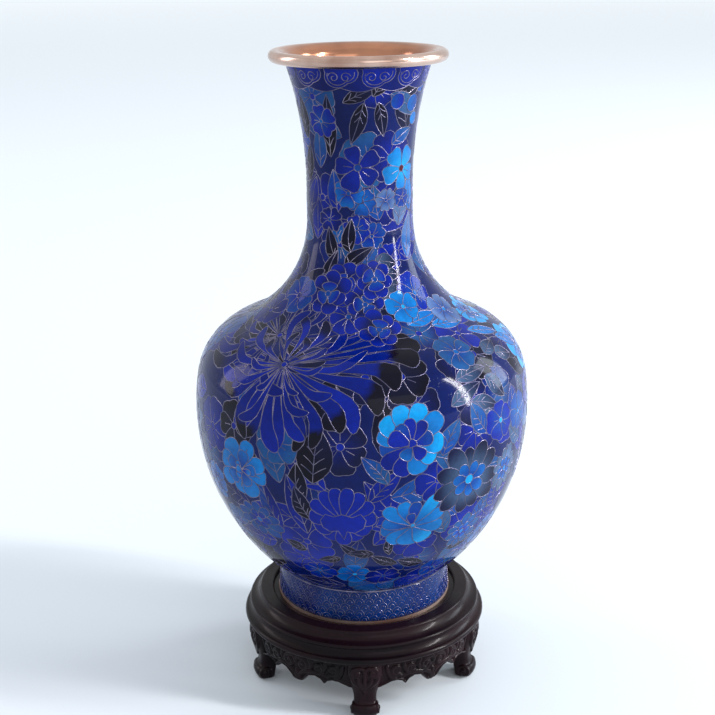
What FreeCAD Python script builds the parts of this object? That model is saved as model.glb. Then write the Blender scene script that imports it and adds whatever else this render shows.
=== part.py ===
# Cloisonne vase on a turned and carved hardwood stand, in millimetres, +Z up.
# The origin is the centre of the floor circle that the stand's feet touch. Vase pieces are drawn
# in section from the underside of the vase's foot, and their Placement lifts them to the seat.
import FreeCAD
import Part

import math
import os

import Sketcher

SIZES = {
    # heights and radii of the vase's section, from its foot up to its mouth
    "foot_height": 19.5,
    "foot_radius": 48.2,
    "foot_lean": 1.0,
    "crease_step": 0.4,
    "belly_rise": 92.2,
    "belly_radius": 90.0,
    "shoulder_rise": 102.8,
    "shoulder_arc": 36.3,
    "throat_arc": 59.3,
    "neck_radius": 27.7,
    "neck_straight": 18.9,
    "flare_rise": 60.6,
    "flare_radius": 37.4,
    # walls
    "enamel_coat": 1.0,
    "copper_wall": 0.9,
    "lining_coat": 0.4,
    "base_wall": 1.0,
    "base_coat": 0.5,
    # mouth ring, foot band and ring wires
    "roll_radius": 3.0,
    "roll_reach": 5.4,
    "dish_depth": 8.0,
    "skirt_depth": 12.0,
    "skirt_wall": 0.8,
    "band_height": 1.8,
    "band_wall": 2.6,
    "band_proud": 0.2,
    "wire_width": 0.6,
    "wire_proud": 0.12,
    # turned rim and seat panel of the stand
    "seat_level": 48.0,
    "seat_thick": 6.0,
    "seat_ledge": 6.4,
    "stand_gap": 3.2,
    "glue_gap": 0.05,
    "lip_height": 1.8,
    "lip_width": 7.8,
    "lip_round": 1.3,
    "rim_drop": 14.0,
    "middle_step": 5.8,
    "middle_drop": 5.0,
    "middle_bead": 1.3,
    "widest_step": 3.0,
    "widest_bead": 1.7,
    "upper_cove": 5.0,
    "lower_cove": 4.2,
    # aprons
    "apron_inset": 2.6,
    "apron_taper": 2.8,
    "apron_height": 17.0,
    "apron_thick": 6.0,
    "apron_bow": 32.0,
    "arch_radius": 6.5,
    "arch_spread": 15.5,
    # legs
    "leg_angle": 16.0,
    "leg_depth": 10.4,
    "heel_reach": 1.4,
    "heel_level": 15.0,
    "knee_drop": 12.0,
    "knee_swell": 0.4,
    "knee_bow": 11.0,
    "shin_curve": 0.88,
    "toe_inset": 3.4,
    "toe_radius": 4.2,
    "ankle_level": 13.0,
    "ankle_cut": 11.5,
    "ankle_spread": 17.6,
    # dowels between the rim and the legs
    "dowel_inset": 4.6,
    "dowel_radius": 2.5,
    "dowel_depth": 6.0,
    "dowel_gap": 0.1,
}
LEGS = 5
TURN = 360.0 / LEGS
FRONT = -90.0

doc = FreeCAD.newDocument("vase_on_stand")
sheet = doc.addObject("Spreadsheet::Sheet", "Sizes")
for row, (alias, number) in enumerate(SIZES.items(), start=1):
    sheet.set(f"A{row}", alias)
    sheet.set(f"B{row}", str(number))
    sheet.setAlias(f"B{row}", alias)
doc.recompute()


class Size:
    # A length, with the expression that ties it to the sheet.
    def __init__(self, value, text):
        self.value = value
        self.text = text

    def __add__(self, other):
        return Size(self.value + other.value, f"({self.text} + {other.text})")

    def __sub__(self, other):
        return Size(self.value - other.value, f"({self.text} - {other.text})")

    def __mul__(self, other):
        return Size(self.value * other.value, f"({self.text} * {other.text})")

    def __truediv__(self, other):
        return Size(self.value / other.value, f"({self.text} / {other.text})")


def number(value):
    return Size(value, str(value))


def size(alias):
    return Size(SIZES[alias], f"Sizes.{alias}")


def root(value):
    return Size(math.sqrt(value.value), f"sqrt({value.text})")


def arc_radius(run, bulge):
    # radius of the arc that starts along run and has left it by bulge at its end
    return (run * run + bulge * bulge) / (bulge * number(2))


# ---------------------------------------------------------------- section of the vase
belly_level = size("foot_height") + size("belly_rise")
neck_level = belly_level + size("shoulder_rise")
flare_level = neck_level + size("neck_straight")
mouth_level = flare_level + size("flare_rise")

foot_waist = size("foot_radius") - size("foot_lean")
belly_base = foot_waist + size("crease_step")
belly_arc = arc_radius(size("belly_rise"), size("belly_radius") - belly_base)
flare_arc = arc_radius(size("flare_rise"), size("flare_radius") - size("neck_radius"))
belly_centre = (size("belly_radius") - belly_arc, belly_level)
throat_centre = (size("neck_radius") + size("throat_arc"), neck_level)
flare_centre = (size("neck_radius") + flare_arc, flare_level)

# how far the faces of each layer lie inside the polished surface
SURFACE = number(0)
COPPER_OUT = size("enamel_coat")
COPPER_IN = COPPER_OUT + size("copper_wall")
LINING_IN = COPPER_IN + size("lining_coat")
SKIRT_IN = COPPER_IN + size("skirt_wall")


def belly_at(level, inset):
    # radius of the belly's bowl at a level, for a face that lies inset from the surface
    reach = belly_arc - inset
    drop = belly_level - level
    return belly_centre[0] + root(reach * reach - drop * drop)


def flare_at(level, inset):
    # radius of the neck's flare at a level, for a face that lies inset from the surface
    reach = flare_arc + inset
    climb = level - flare_level
    return flare_centre[0] - root(reach * reach - climb * climb)


def foot_at(level, inset):
    # radius of the foot's leaning wall at a level
    lean = size("foot_lean") / size("foot_height")
    return size("foot_radius") - lean * level - inset


def shoulder_centre():
    # centre of the shoulder arc, which is tangent to the belly's arc and to the throat's
    low = [part.value for part in belly_centre]
    high = [part.value for part in throat_centre]
    near = belly_arc.value - SIZES["shoulder_arc"]
    far = SIZES["shoulder_arc"] + SIZES["throat_arc"]
    gap = math.dist(low, high)
    along = (near**2 - far**2 + gap**2) / (2 * gap)
    aside = math.sqrt(near**2 - along**2)
    ux = (high[0] - low[0]) / gap
    uy = (high[1] - low[1]) / gap
    return low[0] + ux * along + uy * aside, low[1] + uy * along - ux * aside


# ---------------------------------------------------------------- drawing
def plane_sketch(body, name, role):
    sketch = body.newObject("Sketcher::SketchObject", name)
    plane = next(part for part in body.Origin.OriginFeatures if part.Role == role)
    sketch.AttachmentSupport = [(plane, "")]
    sketch.MapMode = "FlatFace"
    return sketch


def tie(sketch, constraint, measure):
    index = sketch.addConstraint(constraint)
    sketch.setExpression(f"Constraints[{index}]", measure.text)


def tie_point(sketch, geometry, point, place):
    for kind, measure in zip(("DistanceX", "DistanceY"), place):
        if measure is not None:
            tie(sketch, Sketcher.Constraint(kind, -1, 1, geometry, point, measure.value), measure)


class Outline:
    # A closed outline in a body's XZ plane, drawn edge by edge, with every edge tied to the sheet.
    def __init__(self, body, x, y):
        self.sketch = plane_sketch(body, f"{body.Name}_section", "XZ_Plane")
        self.start = (x, y)
        self.here = (x.value, y.value)
        self.last = None
        self.first = None
        self.link = "Coincident"

    def join(self, geometry, near, far, held, link="Coincident"):
        if self.last is None:
            self.first = (geometry, near)
            tie_point(self.sketch, geometry, near, self.start)
        else:
            self.sketch.addConstraint(Sketcher.Constraint(self.link, *self.last, geometry, near))
        self.last = (geometry, far)
        self.link = link
        tie_point(self.sketch, geometry, far, held)

    def line(self, x, y):
        ends = [FreeCAD.Vector(*self.here, 0), FreeCAD.Vector(x.value, y.value, 0)]
        geometry = self.sketch.addGeometry(Part.LineSegment(*ends))
        self.join(geometry, 1, 2, (x, y))
        self.here = (x.value, y.value)

    def close(self):
        ends = [FreeCAD.Vector(*self.here, 0)]
        ends.append(FreeCAD.Vector(self.start[0].value, self.start[1].value, 0))
        geometry = self.sketch.addGeometry(Part.LineSegment(*ends))
        self.join(geometry, 1, 2, (None, None))
        self.sketch.addConstraint(Sketcher.Constraint("Coincident", *self.last, *self.first))
        return self.sketch

    def curve(self, middle, end, turn):
        # adds the arc itself, counter-clockwise when turn is 1 and clockwise when it is -1
        begin = math.atan2(self.here[1] - middle[1], self.here[0] - middle[0])
        finish = math.atan2(end[1] - middle[1], end[0] - middle[0])
        low, high = (begin, finish) if turn > 0 else (finish, begin)
        if high < low:
            high += 2 * math.pi
        reach = math.dist(self.here, middle)
        circle = Part.Circle(FreeCAD.Vector(*middle, 0), FreeCAD.Vector(0, 0, 1), reach)
        self.here = tuple(end)
        near, far = (1, 2) if turn > 0 else (2, 1)
        return self.sketch.addGeometry(Part.ArcOfCircle(circle, low, high)), near, far

    def arc(self, centre, end, held, turn):
        # an arc about a fixed centre, whose end is held sideways or upwards
        middle = (centre[0].value, centre[1].value)
        geometry, near, far = self.curve(middle, (end[0].value, end[1].value), turn)
        self.join(geometry, near, far, held)
        tie_point(self.sketch, geometry, 3, centre)

    def bow(self, x, y, radius, turn, closing=False):
        # an arc of a fixed radius to a fixed corner, or back to the first corner
        end = (x.value, y.value)
        half = math.dist(self.here, end) / 2
        lift = math.sqrt(radius.value**2 - half**2) * turn
        ux = (end[0] - self.here[0]) / (2 * half)
        uy = (end[1] - self.here[1]) / (2 * half)
        middle = ((self.here[0] + end[0]) / 2 - uy * lift, (self.here[1] + end[1]) / 2 + ux * lift)
        geometry, near, far = self.curve(middle, end, turn)
        self.join(geometry, near, far, (None, None) if closing else (x, y))
        tie(self.sketch, Sketcher.Constraint("Radius", geometry, radius.value), radius)
        if closing:
            self.sketch.addConstraint(Sketcher.Constraint("Coincident", *self.last, *self.first))

    def smooth(self, middle, end, turn, centre=None, radius=None):
        # an arc that runs on smoothly into the next one, with its centre or its radius fixed
        geometry, near, far = self.curve(middle, end, turn)
        self.join(geometry, near, far, (None, None), link="Tangent")
        if centre is not None:
            tie_point(self.sketch, geometry, 3, centre)
        if radius is not None:
            tie(self.sketch, Sketcher.Constraint("Radius", geometry, radius.value), radius)


def new_body(label, lift=None):
    body = doc.addObject("PartDesign::Body", label)
    body.Label = label
    if lift is not None:
        body.setExpression("Placement.Base.z", lift.text)
    return body


def vase_body(label):
    return new_body(label, size("seat_level"))


def turned(body, sketch, sector=None):
    # turns the outline about Z, the whole way round or over a sector centred on +X
    feature = body.newObject("PartDesign::Revolution", f"{body.Name}_turned")
    feature.Profile = sketch
    feature.ReferenceAxis = (sketch, ["V_Axis"])
    feature.Angle = 360.0
    if sector is not None:
        feature.Midplane = True
        feature.setExpression("Angle", sector.text)
    doc.recompute()
    return feature


def cut_circles(body, name, role, circles, level=None, depth=None, upward=False):
    # pockets circles out of a body, right through it unless a depth is given
    sketch = plane_sketch(body, f"{body.Name}_{name}", role)
    if level is not None:
        sketch.setExpression("AttachmentOffset.Base.z", level.text)
    for x, y, radius in circles:
        middle = FreeCAD.Vector(x.value, y.value, 0)
        geometry = sketch.addGeometry(
            Part.Circle(middle, FreeCAD.Vector(0, 0, 1), radius.value)
        )
        tie_point(sketch, geometry, 3, (x, y))
        tie(sketch, Sketcher.Constraint("Radius", geometry, radius.value), radius)
    doc.recompute()
    before = body.Shape.Volume
    pocket = body.newObject("PartDesign::Pocket", f"{body.Name}_{name}_cut")
    pocket.Profile = sketch
    if depth is None:
        pocket.Type = "ThroughAll"
        pocket.Midplane = True
    else:
        pocket.Type = "Length"
        pocket.setExpression("Length", depth.text)
        pocket.Reversed = upward
    doc.recompute()
    if not body.Shape.Volume < before:
        raise RuntimeError(f"{body.Label}: {name} cut nothing")
    return pocket


def set_angle(body, degrees):
    turn = FreeCAD.Rotation(FreeCAD.Vector(0, 0, 1), degrees)
    body.Placement = FreeCAD.Placement(FreeCAD.Vector(0, 0, 0), turn)


# ---------------------------------------------------------------- walls of the vase
def neck_wall(label, outside, inside, low, high):
    # a layer of the neck between two levels, upright first and then flared
    body = vase_body(label)
    outline = Outline(body, size("neck_radius") - outside, low)
    outline.line(size("neck_radius") - outside, flare_level)
    outline.arc(flare_centre, (flare_at(high, outside), high), (None, high), -1)
    outline.line(flare_at(high, inside), high)
    upright = (size("neck_radius") - inside, flare_level)
    outline.arc(flare_centre, upright, (None, flare_level), 1)
    outline.line(size("neck_radius") - inside, low)
    turned(body, outline.close())


def shoulder_wall(label, outside, inside):
    # a layer from the widest level, over the shoulder, to the foot of the neck
    body = vase_body(label)
    middle = shoulder_centre()
    low_part = SIZES["shoulder_arc"] / (belly_arc.value - SIZES["shoulder_arc"])
    high_part = SIZES["shoulder_arc"] / (SIZES["shoulder_arc"] + SIZES["throat_arc"])

    def joints(inset):
        # where the shoulder arc of this face meets the belly's arc and the throat's
        scale = 1 - inset.value / SIZES["shoulder_arc"]
        low = [m + (m - c.value) * low_part * scale for m, c in zip(middle, belly_centre)]
        high = [m + (c.value - m) * high_part * scale for m, c in zip(middle, throat_centre)]
        return low, high

    low, high = joints(outside)
    outline = Outline(body, size("belly_radius") - outside, belly_level)
    outline.smooth([c.value for c in belly_centre], low, 1, centre=belly_centre)
    outline.smooth(middle, high, 1, radius=size("shoulder_arc") - outside)
    top = (size("neck_radius") - outside, neck_level)
    outline.arc(throat_centre, top, top, -1)
    outline.line(size("neck_radius") - inside, neck_level)

    low, high = joints(inside)
    outline.smooth([c.value for c in throat_centre], high, 1, centre=throat_centre)
    outline.smooth(middle, low, -1, radius=size("shoulder_arc") - inside)
    bottom = (size("belly_radius") - inside, belly_level)
    outline.arc(belly_centre, bottom, bottom, -1)
    turned(body, outline.close())


def belly_wall(label, outside, inside, low):
    # a layer of the bowl, from a level near the foot up to the widest level
    body = vase_body(label)
    outline = Outline(body, belly_at(low, outside), low)
    widest = (size("belly_radius") - outside, belly_level)
    outline.arc(belly_centre, widest, (None, belly_level), 1)
    outline.line(size("belly_radius") - inside, belly_level)
    outline.arc(belly_centre, (belly_at(low, inside), low), (None, low), -1)
    turned(body, outline.close())


def belly_lining():
    # the coat inside the bowl, which runs across the base plate too
    body = vase_body("belly_lining")
    low = size("foot_height")
    floor = low + size("lining_coat")
    outline = Outline(body, number(0), low)
    outline.line(belly_at(low, COPPER_IN), low)
    widest = (size("belly_radius") - COPPER_IN, belly_level)
    outline.arc(belly_centre, widest, (None, belly_level), 1)
    outline.line(size("belly_radius") - LINING_IN, belly_level)
    outline.arc(belly_centre, (belly_at(floor, LINING_IN), floor), (None, floor), -1)
    outline.line(number(0), floor)
    turned(body, outline.close())


def foot_ring(label, outside, inside, low, high):
    # a layer of the foot, whose wall leans outwards towards the floor
    body = vase_body(label)
    outline = Outline(body, foot_at(low, inside), low)
    outline.line(foot_at(low, outside), low)
    outline.line(foot_at(high, outside), high)
    outline.line(foot_at(high, inside), high)
    turned(body, outline.close())


def plain_ring(body, inner, outer, low, high):
    # a ring of rectangular section, or a disc when its inner radius is nothing
    outline = Outline(body, inner, low)
    outline.line(outer, low)
    outline.line(outer, high)
    outline.line(inner, high)
    turned(body, outline.close())


def mouth_ring():
    # gilt lip: a round roll outside, a trumpet-shaped mouth, and a skirt down inside the neck
    body = vase_body("mouth_ring")
    roll = size("roll_radius")
    roll_at = size("flare_radius") + size("roll_reach")
    crest = mouth_level + roll * number(2)
    dish = crest - size("dish_depth")
    hem = mouth_level - size("skirt_depth")
    throat = flare_at(dish, SKIRT_IN)
    dish_arc = arc_radius(roll_at - throat, size("dish_depth"))
    outline = Outline(body, throat, dish)
    outline.arc((roll_at, crest - dish_arc), (roll_at, crest), (roll_at, None), -1)
    outline.arc((roll_at, mouth_level + roll), (roll_at, mouth_level), (roll_at, None), -1)
    outline.line(flare_at(mouth_level, COPPER_IN), mouth_level)
    outline.arc(flare_centre, (flare_at(hem, COPPER_IN), hem), (None, hem), 1)
    outline.line(flare_at(hem, SKIRT_IN), hem)
    outline.bow(throat, dish, flare_arc + SKIRT_IN, -1, closing=True)
    turned(body, outline.sketch)


# ---------------------------------------------------------------- parts of the stand
lip_inner = size("foot_radius") + size("stand_gap")
lip_outer = lip_inner + size("lip_width")
middle_outer = lip_outer + size("middle_step")
widest_outer = middle_outer + size("widest_step")
apron_top = widest_outer - size("apron_inset")
dowel_centre = apron_top - size("dowel_inset")
ledge_level = size("seat_level") - size("seat_thick")
rim_base = size("seat_level") - size("rim_drop")


def stand_rim():
    # turned ring: a lip round the vase's foot, two coves and two beads, and a ledge for the seat
    body = new_body("stand_rim")
    crest = size("seat_level") + size("lip_height")
    edge = size("lip_round")
    shoulder = crest - edge
    wide = size("widest_bead")
    wide_at = widest_outer - wide
    middle = size("middle_bead")
    middle_at = middle_outer - middle
    middle_level = size("seat_level") - size("middle_drop")
    base = rim_base
    ledge_radius = lip_inner - size("seat_ledge")
    outline = Outline(body, ledge_radius, base)
    outline.line(wide_at, base)
    outline.arc((wide_at, base + wide), (wide_at, base + wide + wide), (wide_at, None), 1)
    outline.bow(middle_at, middle_level - middle, size("lower_cove"), -1)
    outline.arc((middle_at, middle_level), (middle_at, middle_level + middle), (middle_at, None), 1)
    outline.bow(lip_outer, shoulder, size("upper_cove"), -1)
    outline.arc((lip_outer - edge, shoulder), (lip_outer - edge, crest), (lip_outer - edge, None), 1)
    outline.line(lip_inner + edge, crest)
    outline.arc((lip_inner + edge, shoulder), (lip_inner, shoulder), (None, shoulder), 1)
    outline.line(lip_inner, ledge_level)
    outline.line(ledge_radius, ledge_level)
    turned(body, outline.close())

    hole = (dowel_centre, number(0), size("dowel_radius") + size("dowel_gap"))
    pocket = cut_circles(body, "socket", "XY_Plane", [hole], base, size("dowel_depth"), True)
    ring = body.newObject("PartDesign::PolarPattern", "stand_rim_sockets")
    ring.Originals = [pocket]
    ring.Axis = (pocket.Profile[0], ["N_Axis"])
    ring.Angle = 360.0
    ring.Occurrences = LEGS
    body.Tip = ring
    set_angle(body, FRONT)


def seat_panel():
    # round board let into the rim, on which the vase's foot stands
    body = new_body("seat_panel")
    plain_ring(body, number(0), lip_inner - size("glue_gap"), ledge_level, size("seat_level"))


def leg(place):
    # cabriole leg cut from a turned blank, with a rolled toe and a narrow ankle
    body = new_body(f"leg_{place + 1}")
    back = apron_top - size("leg_depth")
    toe = size("toe_radius")
    toe_at = apron_top - size("toe_inset")
    knee_level = rim_base - size("knee_drop")
    shin_bow = (knee_level - toe - toe) * size("shin_curve")
    outline = Outline(body, back, rim_base)
    outline.line(back, size("heel_level"))
    outline.line(back - size("heel_reach"), number(0))
    outline.line(toe_at, number(0))
    outline.arc((toe_at, toe), (toe_at, toe + toe), (toe_at, None), 1)
    outline.bow(apron_top + size("knee_swell"), knee_level, shin_bow, -1)
    outline.bow(apron_top, rim_base, size("knee_bow"), 1)
    turned(body, outline.close(), size("leg_angle"))

    sides = [
        (number(side) * size("ankle_spread"), size("ankle_level"), size("ankle_cut"))
        for side in (-1, 1)
    ]
    cut_circles(body, "ankle", "YZ_Plane", sides)
    hole = (dowel_centre, number(0), size("dowel_radius") + size("dowel_gap"))
    cut_circles(body, "socket", "XY_Plane", [hole], rim_base, size("dowel_depth"))
    set_angle(body, FRONT + TURN * place)


def apron(place):
    # curved board between two legs, scalloped along its lower edge
    body = new_body(f"apron_{place + 1}")
    low = rim_base - size("apron_height")
    hem = apron_top - size("apron_taper")
    thick = size("apron_thick")
    outline = Outline(body, hem - thick, low)
    outline.line(hem, low)
    outline.bow(apron_top, rim_base, size("apron_bow"), 1)
    outline.line(apron_top - thick, rim_base)
    turned(body, outline.close(), number(TURN) - size("leg_angle"))

    arches = [
        (number(side) * size("arch_spread"), low, size("arch_radius")) for side in (-1, 1)
    ]
    cut_circles(body, "arch", "YZ_Plane", arches)
    set_angle(body, FRONT + TURN * (place + 0.5))


def leg_dowel(place):
    # peg that holds a leg in the rim
    peg = doc.addObject("Part::Cylinder", f"leg_dowel_{place + 1}")
    peg.Label = f"leg_dowel_{place + 1}"
    depth = size("dowel_depth") - size("dowel_gap")
    angle = math.radians(FRONT + TURN * place)
    peg.setExpression("Radius", size("dowel_radius").text)
    peg.setExpression("Height", (depth + depth).text)
    peg.setExpression("Placement.Base.x", (dowel_centre * number(math.cos(angle))).text)
    peg.setExpression("Placement.Base.y", (dowel_centre * number(math.sin(angle))).text)
    peg.setExpression("Placement.Base.z", (rim_base - depth).text)


# ---------------------------------------------------------------- the assembly
hem_level = mouth_level - size("skirt_depth")
wire_level = mouth_level - size("wire_width")
foot_top = size("foot_height") - size("base_wall")
crease = size("foot_height") - size("wire_width")

mouth_ring()
neck_wall("neck_shell", COPPER_OUT, COPPER_IN, neck_level, mouth_level)
shoulder_wall("shoulder_shell", COPPER_OUT, COPPER_IN)
belly_wall("belly_shell", COPPER_OUT, COPPER_IN, size("foot_height"))
foot_ring("foot_shell", COPPER_OUT, COPPER_IN, size("band_height"), foot_top)

neck_wall("neck_enamel", SURFACE, COPPER_OUT, neck_level, wire_level)
shoulder_wall("shoulder_enamel", SURFACE, COPPER_OUT)
belly_wall("belly_enamel", SURFACE, COPPER_OUT, size("foot_height"))
foot_ring("foot_enamel", SURFACE, COPPER_OUT, size("band_height"), crease)

neck_wall("neck_lining", COPPER_IN, LINING_IN, neck_level, hem_level)
shoulder_wall("shoulder_lining", COPPER_IN, LINING_IN)
belly_lining()

plate_edge = foot_waist - COPPER_OUT
plain_ring(vase_body("base_plate"), number(0), plate_edge, foot_top, size("foot_height"))
coat_edge = foot_waist - COPPER_IN
coat_level = foot_top - size("base_coat")
plain_ring(vase_body("base_enamel"), number(0), coat_edge, coat_level, foot_top)

band_outer = size("foot_radius") + size("band_proud")
band_inner = band_outer - size("band_wall")
plain_ring(vase_body("foot_band"), band_inner, band_outer, number(0), size("band_height"))
wire_outer = belly_at(size("foot_height"), SURFACE) + size("wire_proud")
plain_ring(vase_body("foot_wire"), plate_edge, wire_outer, crease, size("foot_height"))
wire_outer = flare_at(mouth_level, SURFACE) + size("wire_proud")
wire_inner = flare_at(mouth_level, COPPER_OUT)
plain_ring(vase_body("mouth_wire"), wire_inner, wire_outer, wire_level, mouth_level)

stand_rim()
seat_panel()
for place in range(LEGS):
    leg(place)
    apron(place)
    leg_dowel(place)

doc.recompute()
for item in doc.Objects:
    if "Invalid" in item.State or "Error" in item.State:
        raise RuntimeError(f"{item.Label} did not build: {item.State}")

os.makedirs("parts", exist_ok=True)
for item in doc.Objects:
    if item.TypeId in ("PartDesign::Body", "Part::Cylinder"):
        if item.Shape.isNull() or not item.Shape.isValid():
            raise RuntimeError(f"{item.Label} has no valid shape")
        item.Shape.exportStep(f"parts/{item.Label}.step")
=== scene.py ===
import math
import random

import bpy
import numpy as np
from mathutils import Matrix, Vector
from mathutils.geometry import delaunay_2d_cdt


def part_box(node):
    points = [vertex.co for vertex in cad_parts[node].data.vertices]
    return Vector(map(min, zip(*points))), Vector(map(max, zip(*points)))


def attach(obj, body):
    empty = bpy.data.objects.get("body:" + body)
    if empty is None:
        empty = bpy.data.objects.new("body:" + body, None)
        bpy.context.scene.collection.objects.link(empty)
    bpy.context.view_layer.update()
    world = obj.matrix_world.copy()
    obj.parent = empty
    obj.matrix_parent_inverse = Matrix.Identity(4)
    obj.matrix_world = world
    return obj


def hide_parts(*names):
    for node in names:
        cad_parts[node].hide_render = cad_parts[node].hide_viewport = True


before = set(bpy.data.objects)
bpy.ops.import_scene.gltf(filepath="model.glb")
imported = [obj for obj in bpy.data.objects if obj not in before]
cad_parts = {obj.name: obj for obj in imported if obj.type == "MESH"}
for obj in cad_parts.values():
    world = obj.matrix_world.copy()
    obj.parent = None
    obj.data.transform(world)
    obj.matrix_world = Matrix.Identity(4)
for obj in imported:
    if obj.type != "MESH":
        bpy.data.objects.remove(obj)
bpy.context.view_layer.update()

# A cloisonne vase on a carved hardwood stand. All lengths below are in millimetres and become
# metres when a mesh is made. Angles round the vase run from the viewer's side towards +X.
mm = 0.001
scene = bpy.context.scene
scene.view_settings.view_transform = "Standard"
print("frame loaded:", len(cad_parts), "parts")


# small helpers shared by every piece

def meshPiece(name, points, faces, material, smooth=True):
    mesh = bpy.data.meshes.new(name)
    mesh.from_pydata([tuple(p) for p in np.asarray(points) * mm], [], [tuple(f) for f in faces])
    mesh.polygons.foreach_set("use_smooth", [smooth] * len(mesh.polygons))
    mesh.materials.append(material)
    piece = bpy.data.objects.new(name, mesh)
    scene.collection.objects.link(piece)
    return piece


def settle(piece, body, nodes=()):
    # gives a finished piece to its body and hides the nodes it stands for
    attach(piece, body)
    for node in nodes:
        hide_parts(node)
    return piece


def around(radius, height, angle):
    # points at an angle round the vase's axis; 0 faces the viewer
    return np.stack([radius * np.sin(angle), -radius * np.cos(angle), height + 0 * angle], -1)


def arcPoints(centre, radius, start, stop, step=1.0):
    # points of an arc between two angles in degrees, ends included
    start, stop = math.radians(start), math.radians(stop)
    count = max(3, int(abs(stop - start) * radius / step) + 2)
    t = np.linspace(start, stop, count)
    return [(centre[0] + radius * math.cos(a), centre[1] + radius * math.sin(a)) for a in t]


# materials

def newMaterial(name):
    material = bpy.data.materials.new(name)
    material.use_nodes = True
    tree = material.node_tree
    tree.nodes.clear()
    output = tree.nodes.new("ShaderNodeOutputMaterial")
    shader = tree.nodes.new("ShaderNodeBsdfPrincipled")
    tree.links.new(shader.outputs[0], output.inputs[0])
    return material, tree, shader


def noise(tree, coordinates, scale, detail=3.0, roughness=0.5, stretch=None):
    node = tree.nodes.new("ShaderNodeTexNoise")
    node.inputs["Scale"].default_value = scale
    node.inputs["Detail"].default_value = detail
    node.inputs["Roughness"].default_value = roughness
    if stretch is not None:
        mapping = tree.nodes.new("ShaderNodeMapping")
        mapping.inputs["Scale"].default_value = stretch
        tree.links.new(coordinates, mapping.inputs["Vector"])
        coordinates = mapping.outputs["Vector"]
    tree.links.new(coordinates, node.inputs["Vector"])
    return node.outputs["Fac"]


def span(tree, value, low, high, toLow, toHigh):
    # remaps a value from one range to another and clamps it
    node = tree.nodes.new("ShaderNodeMapRange")
    for name, number in (("From Min", low), ("From Max", high), ("To Min", toLow), ("To Max", toHigh)):
        node.inputs[name].default_value = number
    tree.links.new(value, node.inputs["Value"])
    return node.outputs["Result"]


def mixColour(tree, factor, first, second):
    # either end is a plain colour or comes from another node
    node = tree.nodes.new("ShaderNodeMix")
    node.data_type = "RGBA"
    sockets = [s for s in node.inputs if s.type == "RGBA"]
    for socket, colour in zip(sockets, (first, second)):
        if isinstance(colour, bpy.types.NodeSocket):
            tree.links.new(colour, socket)
        else:
            socket.default_value = (*colour, 1)
    tree.links.new(factor, node.inputs["Factor"])
    return next(s for s in node.outputs if s.type == "RGBA")


def bump(tree, height, strength, distance):
    node = tree.nodes.new("ShaderNodeBump")
    node.inputs["Strength"].default_value = strength
    node.inputs["Distance"].default_value = distance
    tree.links.new(height, node.inputs["Height"])
    return node.outputs["Normal"]


def objectCoordinates(tree):
    return tree.nodes.new("ShaderNodeTexCoord").outputs["Object"]


enamelFinish = {
    "roughness": 0.085,
    "specular": 0.12,
    "cloud": 38.0,
    "cloudTone": (0.56, 0.90),
    "grain": 420.0,
    "grainTone": (0.86, 1.14),
    "pits": 900.0,
    "wave": 55.0,
}


def enamelMaterial():
    # fired glass: colour comes from each cell, with the grain of crushed enamel and a few pits
    material, tree, shader = newMaterial("cloisonneEnamel")
    tint = tree.nodes.new("ShaderNodeAttribute")
    tint.attribute_name = "cellColour"
    place = objectCoordinates(tree)
    cloud = span(tree, noise(tree, place, enamelFinish["cloud"], 4), 0.3, 0.7, *enamelFinish["cloudTone"])
    grain = span(tree, noise(tree, place, enamelFinish["grain"], 2), 0.25, 0.75, *enamelFinish["grainTone"])
    shade = tree.nodes.new("ShaderNodeMath")
    shade.operation = "MULTIPLY"
    tree.links.new(cloud, shade.inputs[0])
    tree.links.new(grain, shade.inputs[1])
    scaled = tree.nodes.new("ShaderNodeVectorMath")
    scaled.operation = "SCALE"
    tree.links.new(tint.outputs["Color"], scaled.inputs[0])
    tree.links.new(shade.outputs[0], scaled.inputs["Scale"])
    tree.links.new(scaled.outputs[0], shader.inputs["Base Color"])
    pits = span(tree, noise(tree, place, enamelFinish["pits"], 1), 0.66, 0.74, 0, 1)
    wave = noise(tree, place, enamelFinish["wave"], 2)
    level = tree.nodes.new("ShaderNodeMath")
    level.operation = "SUBTRACT"
    tree.links.new(wave, level.inputs[0])
    tree.links.new(pits, level.inputs[1])
    tree.links.new(bump(tree, level.outputs[0], 0.12, 0.0004), shader.inputs["Normal"])
    shader.inputs["Roughness"].default_value = enamelFinish["roughness"]
    shader.inputs["IOR"].default_value = 1.5
    shader.inputs["Specular IOR Level"].default_value = enamelFinish["specular"]
    return material


wireFinish = {"colour": (0.18, 0.16, 0.22), "dull": (0.06, 0.06, 0.12)}


def wireMaterial():
    # soft gilt copper wire, ground flush with the enamel
    material, tree, shader = newMaterial("giltWire")
    place = objectCoordinates(tree)
    wear = span(tree, noise(tree, place, 160, 3), 0.35, 0.65, 0, 1)
    body = mixColour(tree, wear, wireFinish["dull"], wireFinish["colour"])
    tree.links.new(body, shader.inputs["Base Color"])
    tree.links.new(span(tree, wear, 0, 1, 0.42, 0.24), shader.inputs["Roughness"])
    shader.inputs["Metallic"].default_value = 1.0
    return material


giltFinish = {
    "outer": (0.60, 0.45, 0.38),
    # inner: warmer gilt, darkened with painted shade for the slope that turns down into the mouth
    "inner": (0.48, 0.22, 0.13),
    "tarnish": (0.25, 0.11, 0.07),
    "edge": (0.0395, 0.0455),  # radii in metres between which the inner colour gives way to the outer
}


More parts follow.
